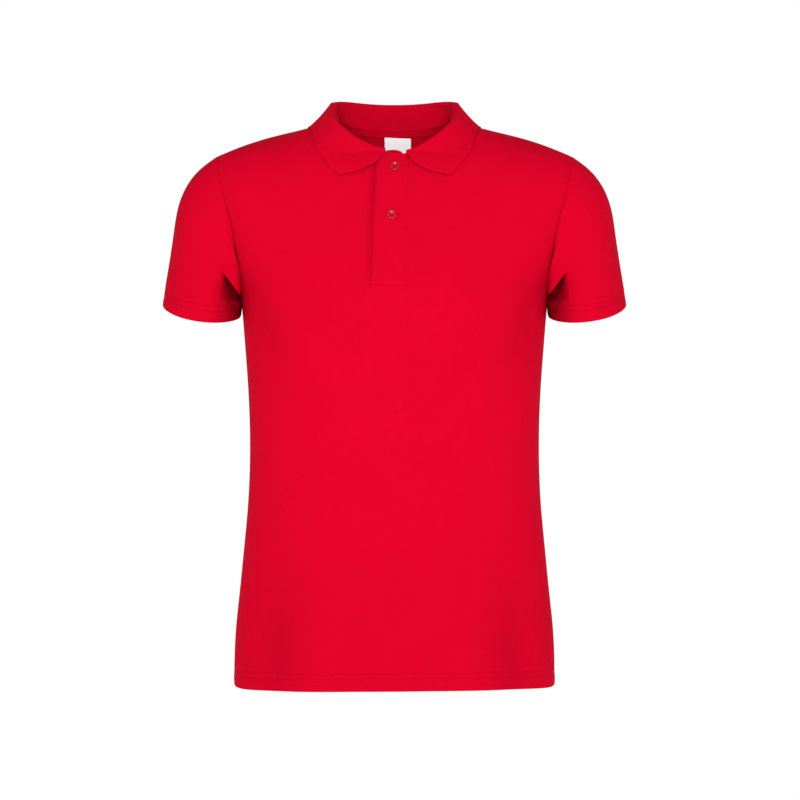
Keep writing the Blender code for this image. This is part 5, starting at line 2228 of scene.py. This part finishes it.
@dataclass
class Trims:
    """What is sewn inside the back neck: the tape over the seam, and a blank label under it."""

    form: WornForm
    wall: float = 0.0015
    gap: float = 0.0008
    tape_wall: float = 0.0011
    tape_half: float = 0.0670
    tape_top: float = 0.0020
    tape_low: float = 0.0073
    label_sides: tuple[float, float] = (-0.0122, 0.0203)
    label_drop: float = 0.0380
    label_tilt: float = 0.06
    label_wall: float = 0.0009
    label_curl: float = 0.0012
    stitch_inset: float = 0.0013

    def tape(self, name: str, cloth: Material) -> Object:
        """Makes the neck tape.

        Args:
            name: the piece's name.
            cloth: its material.

        Returns:
            The tape.
        """
        x, down = np.meshgrid(
            np.linspace(-self.tape_half, self.tape_half, 121),
            np.linspace(self.tape_low, -self.tape_top, 17),
        )
        z = self.form.neckline(Face.BACK, x) - down
        outer, normal = self.form.place(Face.BACK, x, z, -self.wall - self.gap)
        inner = outer - normal * self.tape_wall
        return Shell(outer, inner, self.tape_wall * 0.4).build(name, cloth)

    def label(self, name: str, satin: Material) -> Object:
        """Makes the blank label, a little curled at its free corners.

        Args:
            name: the piece's name.
            satin: its material.

        Returns:
            The label.
        """
        x, down = np.meshgrid(np.linspace(*self.label_sides, 41), np.linspace(1, 0, 49))
        top = self.form.neckline(Face.BACK, x) - self.tape_low - self.form.seam_gap
        z = top - down * self.label_drop - self.label_tilt * (x - self.label_sides[0])
        across = (x - self.label_sides[0]) / (self.label_sides[1] - self.label_sides[0])
        curl = self.label_curl * down**2 * np.abs(2 * across - 1) ** 2
        outer, normal = self.form.place(Face.BACK, x, z, -self.wall - self.gap - curl)
        inner = outer - normal * self.label_wall
        return Shell(outer, inner, self.label_wall * 0.4).build(name, satin)

    def tape_paths(self) -> list[Array]:
        """Paths of the stitches along the tape's two edges.

        Returns:
            The two paths.
        """
        x = np.linspace(-self.tape_half + 0.001, self.tape_half - 0.001, 120)
        paths = []
        for drop in (self.stitch_inset - self.tape_top, self.tape_low - self.stitch_inset):
            z = self.form.neckline(Face.BACK, x) - drop
            points, _ = self.form.place(Face.BACK, x, z, -self.wall - self.gap - self.tape_wall)
            paths.append(points)
        return paths


# --- studio


@dataclass(frozen=True)
class Softbox:
    """A square soft light: where it hangs, the point that it faces, its width and watts."""

    name: str
    place: tuple[float, float, float]
    aim: tuple[float, float, float]
    size: float
    power: float


@dataclass
class Studio:
    """White paper floor, even soft light and the camera."""

    floor: float = -1.35
    floor_radius: float = 2.6
    camera_place: tuple[float, float, float] = (0.0068, -3.8, -0.3474)
    lens: float = 138.8
    sensor: float = 36.0
    level_glow: float = 0.80
    top_glow: float = 0.40
    seen_glow: float = 1.02
    softboxes: tuple[Softbox, ...] = (
        Softbox("front", (0.0, -3.0, 0.22), (0.0, 0.0, -0.28), 1.3, 66.0),
        Softbox("back", (0.0, 3.2, -0.10), (0.0, 0.0, -0.35), 1.6, 60.0),
        Softbox("side right", (-2.3, -0.5, -0.3), (0.0, 0.0, -0.35), 1.2, 5.0),
        Softbox("side left", (2.3, -0.5, -0.3), (0.0, 0.0, -0.35), 1.2, 5.0),
    )

    def build(self, paper: Material) -> None:
        """Makes the floor, lights, world and camera.

        Args:
            paper: the floor's material.
        """
        mesh = bpy.data.meshes.new("floor")
        bm = bmesh.new()
        bmesh.ops.create_circle(bm, cap_ends=True, segments=96, radius=self.floor_radius)
        bmesh.ops.translate(bm, verts=bm.verts, vec=(0, 0, self.floor))
        bm.to_mesh(mesh)
        bm.free()
        mesh.materials.append(paper)
        new_object("floor", mesh)
        self.sky()
        for box in self.softboxes:
            self.hang(box)
        data = bpy.data.cameras.new("camera")
        data.lens, data.sensor_width, data.clip_end = self.lens, self.sensor, 60.0
        camera = new_object("camera", data)
        camera.location = self.camera_place
        camera.rotation_euler = (math.pi / 2, 0.0, 0.0)
        scene = bpy.context.scene
        scene.camera = camera
        scene.view_settings.view_transform, scene.view_settings.look = "Standard", "None"

    def sky(self) -> None:
        """White surroundings: full white to look at, and as a light, dimmer overhead than level."""
        world = bpy.data.worlds.new("white studio")
        world.use_nodes = True
        tree = world.node_tree
        tree.nodes.clear()
        path = add_node(tree, "ShaderNodeLightPath")
        way = add_node(tree, "ShaderNodeTexCoord")
        height = add_node(tree, "ShaderNodeSeparateXYZ", {0: way.outputs["Generated"]})
        ends = {"To Min": self.level_glow, "To Max": self.top_glow}
        glow = add_node(tree, "ShaderNodeMapRange", {"Value": height.outputs["Z"], **ends})
        ends = {"To Min": glow.outputs[0], "To Max": self.seen_glow}
        seen = add_node(tree, "ShaderNodeMapRange", {"Value": path.outputs["Is Camera Ray"], **ends})
        light = {"Color": (1.0, 1.0, 1.0, 1.0), "Strength": seen.outputs[0]}
        white = add_node(tree, "ShaderNodeBackground", light)
        add_node(tree, "ShaderNodeOutputWorld", {"Surface": white.outputs[0]})
        bpy.context.scene.world = world

    def hang(self, box: Softbox) -> None:
        """Hangs a soft light.

        Args:
            box: the light's place, size and power.
        """
        data = bpy.data.lights.new(box.name, "AREA")
        data.size, data.energy = box.size, box.power
        light = new_object(box.name, data)
        light.visible_camera, light.location = False, box.place
        away = Vector(box.place) - Vector(box.aim)
        light.rotation_euler = away.to_track_quat("Z", "Y").to_euler()


# --- the shirt


class PoloShirt:
    """The whole shirt: builds each piece, dresses it and ties it to the frame."""

    body = "root"

    def __init__(self) -> None:
        """Makes the worn form, the pieces' makers and the materials."""
        self.form = WornForm()
        self.placket = Placket(self.form)
        self.cloths = Cloths()
        self.stitches = StitchMaker(self.cloths.thread)
        self.collar = Collar(self.form)
        self.collar_line = self.collar.edge_line()
        self.front = Panel(self.form, Face.FRONT, self.placket, self.collar_line)
        self.back = Panel(self.form, Face.BACK, self.placket, self.collar_line)
        self.sleeves = {hand: Sleeve(self.form, hand) for hand in Hand}
        self.trims = Trims(self.form)
        self.buttons = {
            "button_top": Button(self.placket, -0.0668, 0.0018),
            "button_lower": Button(self.placket, -0.1258, 0.0),
        }

    def keep(self, piece: Object, slot: str, *nodes: str) -> Object:
        """Ties a finished piece to the shirt's body, and hides the solids it stands for.

        Args:
            piece: the piece.
            slot: not used.
            nodes: the solids it stands for.

        Returns:
            The piece.
        """
        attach(piece, self.body)
        if nodes:
            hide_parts(*nodes)
        LOG.info("%s: %d faces", piece.name, len(piece.data.polygons))
        return piece

    def build_cloth(self) -> None:
        """Makes the panels, sleeves and collar."""
        pique = self.cloths.pique
        front = self.keep(self.front.build("front_cloth", pique), "pique", "front")
        back = self.keep(self.back.build("back_cloth", pique), "pique", "back")
        for hand, sleeve in self.sleeves.items():
            side = hand.name.lower()
            piece = self.keep(sleeve.build(f"sleeve_cloth_{side}", pique), "pique", f"sleeve_{side}")
        collar = self.keep(self.collar.build("collar_knit", self.cloths.collar), "collar_knit", "collar")

    def build_placket(self) -> None:
        """Makes the outer and the under band of the placket."""
        made = self.placket.outer("placket_band", self.cloths.pique, self.collar_line)
        band = self.keep(made, "pique", "placket_outer")
        under = self.placket.under("placket_under_band", self.cloths.pique)
        self.keep(under, "pique", "placket_under")

    def build_trims(self) -> None:
        """Makes the neck tape and the blank label."""
        tape = self.keep(self.trims.tape("tape_strip", self.cloths.tape), "tape", "neck_tape")
        label = self.keep(self.trims.label("label_blank", self.cloths.label), "label", "neck_label")

    def build_buttons(self) -> None:
        """Makes the buttons and the thread that holds them."""
        paths = []
        for node, button in self.buttons.items():
            self.keep(button.build(f"{node}_turned", self.cloths.button), "button", node)
            paths.extend(button.thread_paths())
        sewn = self.stitches.sew("button_thread", paths, 0.00045, 0.0009, 0.00032)
        self.keep(sewn, "pique")

    def build_stitches(self) -> None:
        """Sews the hem, cuffs, armholes, placket and neck tape."""
        hems = self.front.hem_paths() + self.back.hem_paths()
        self.keep(self.stitches.sew("hem_stitches", hems), "pique")
        for hand, sleeve in self.sleeves.items():
            side = hand.name.lower()
            cuff = self.stitches.sew(f"cuff_stitches_{side}", sleeve.cuff_paths())
            # Painted shade: the cuff's stitches darken with the sleeve's painted shade under the arm.
            lay_shade(cuff, sleeve.shade)
            self.keep(cuff, "pique")
            rows = [panel.topstitch_path(hand) for panel in (self.front, self.back)]
            self.keep(self.stitches.sew(f"armhole_stitches_{side}", rows, 2.8 * MM), "pique")
        fine, rows = (2.6 * MM, 2.0 * MM), self.placket.stitch_rows()
        self.keep(self.stitches.sew("placket_stitches", rows, *fine), "pique")
        purl, rows = (0.55 * MM, 1.8 * MM, 0.45 * MM, Lie.ACROSS), self.buttonhole_rows()
        self.keep(self.stitches.sew("buttonholes", rows, *purl), "pique")
        self.keep(self.stitches.sew("tape_stitches", self.trims.tape_paths(), *fine), "tape")

    def buttonhole_rows(self) -> list[Array]:
        """Paths round the two level buttonholes, which end past the buttons.

        Returns:
            A closed path for each.
        """
        rows = []
        for button in self.buttons.values():
            middle = sum(float(self.placket.edge(i, button.height)) for i in (0, 1)) / 2 + button.shift
            centre, half, tall = middle + 0.0045, 0.0075, 0.0010
            turn = np.linspace(0, 2 * math.pi, 60)
            x = centre + half * np.sign(np.cos(turn)) * np.abs(np.cos(turn)) ** 0.5
            z = button.height + tall * np.sin(turn)
            rows.append(self.placket.face_point(x, z))
        return rows


def main() -> None:
    """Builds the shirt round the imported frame, then the studio."""
    logging.basicConfig(level=logging.INFO, format="%(name)s: %(message)s")
    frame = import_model()
    LOG.info("frame: %d nodes", len(frame["nodes"]))
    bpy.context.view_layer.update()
    shirt = PoloShirt()
    steps = (
        shirt.build_cloth,
        shirt.build_placket,
        shirt.build_trims,
        shirt.build_buttons,
        shirt.build_stitches,
    )
    for step in steps:
        step()
        LOG.info("done: %s", step.__name__)
    Studio().build(shirt.cloths.paper)


if __name__ == "__main__":
    main()
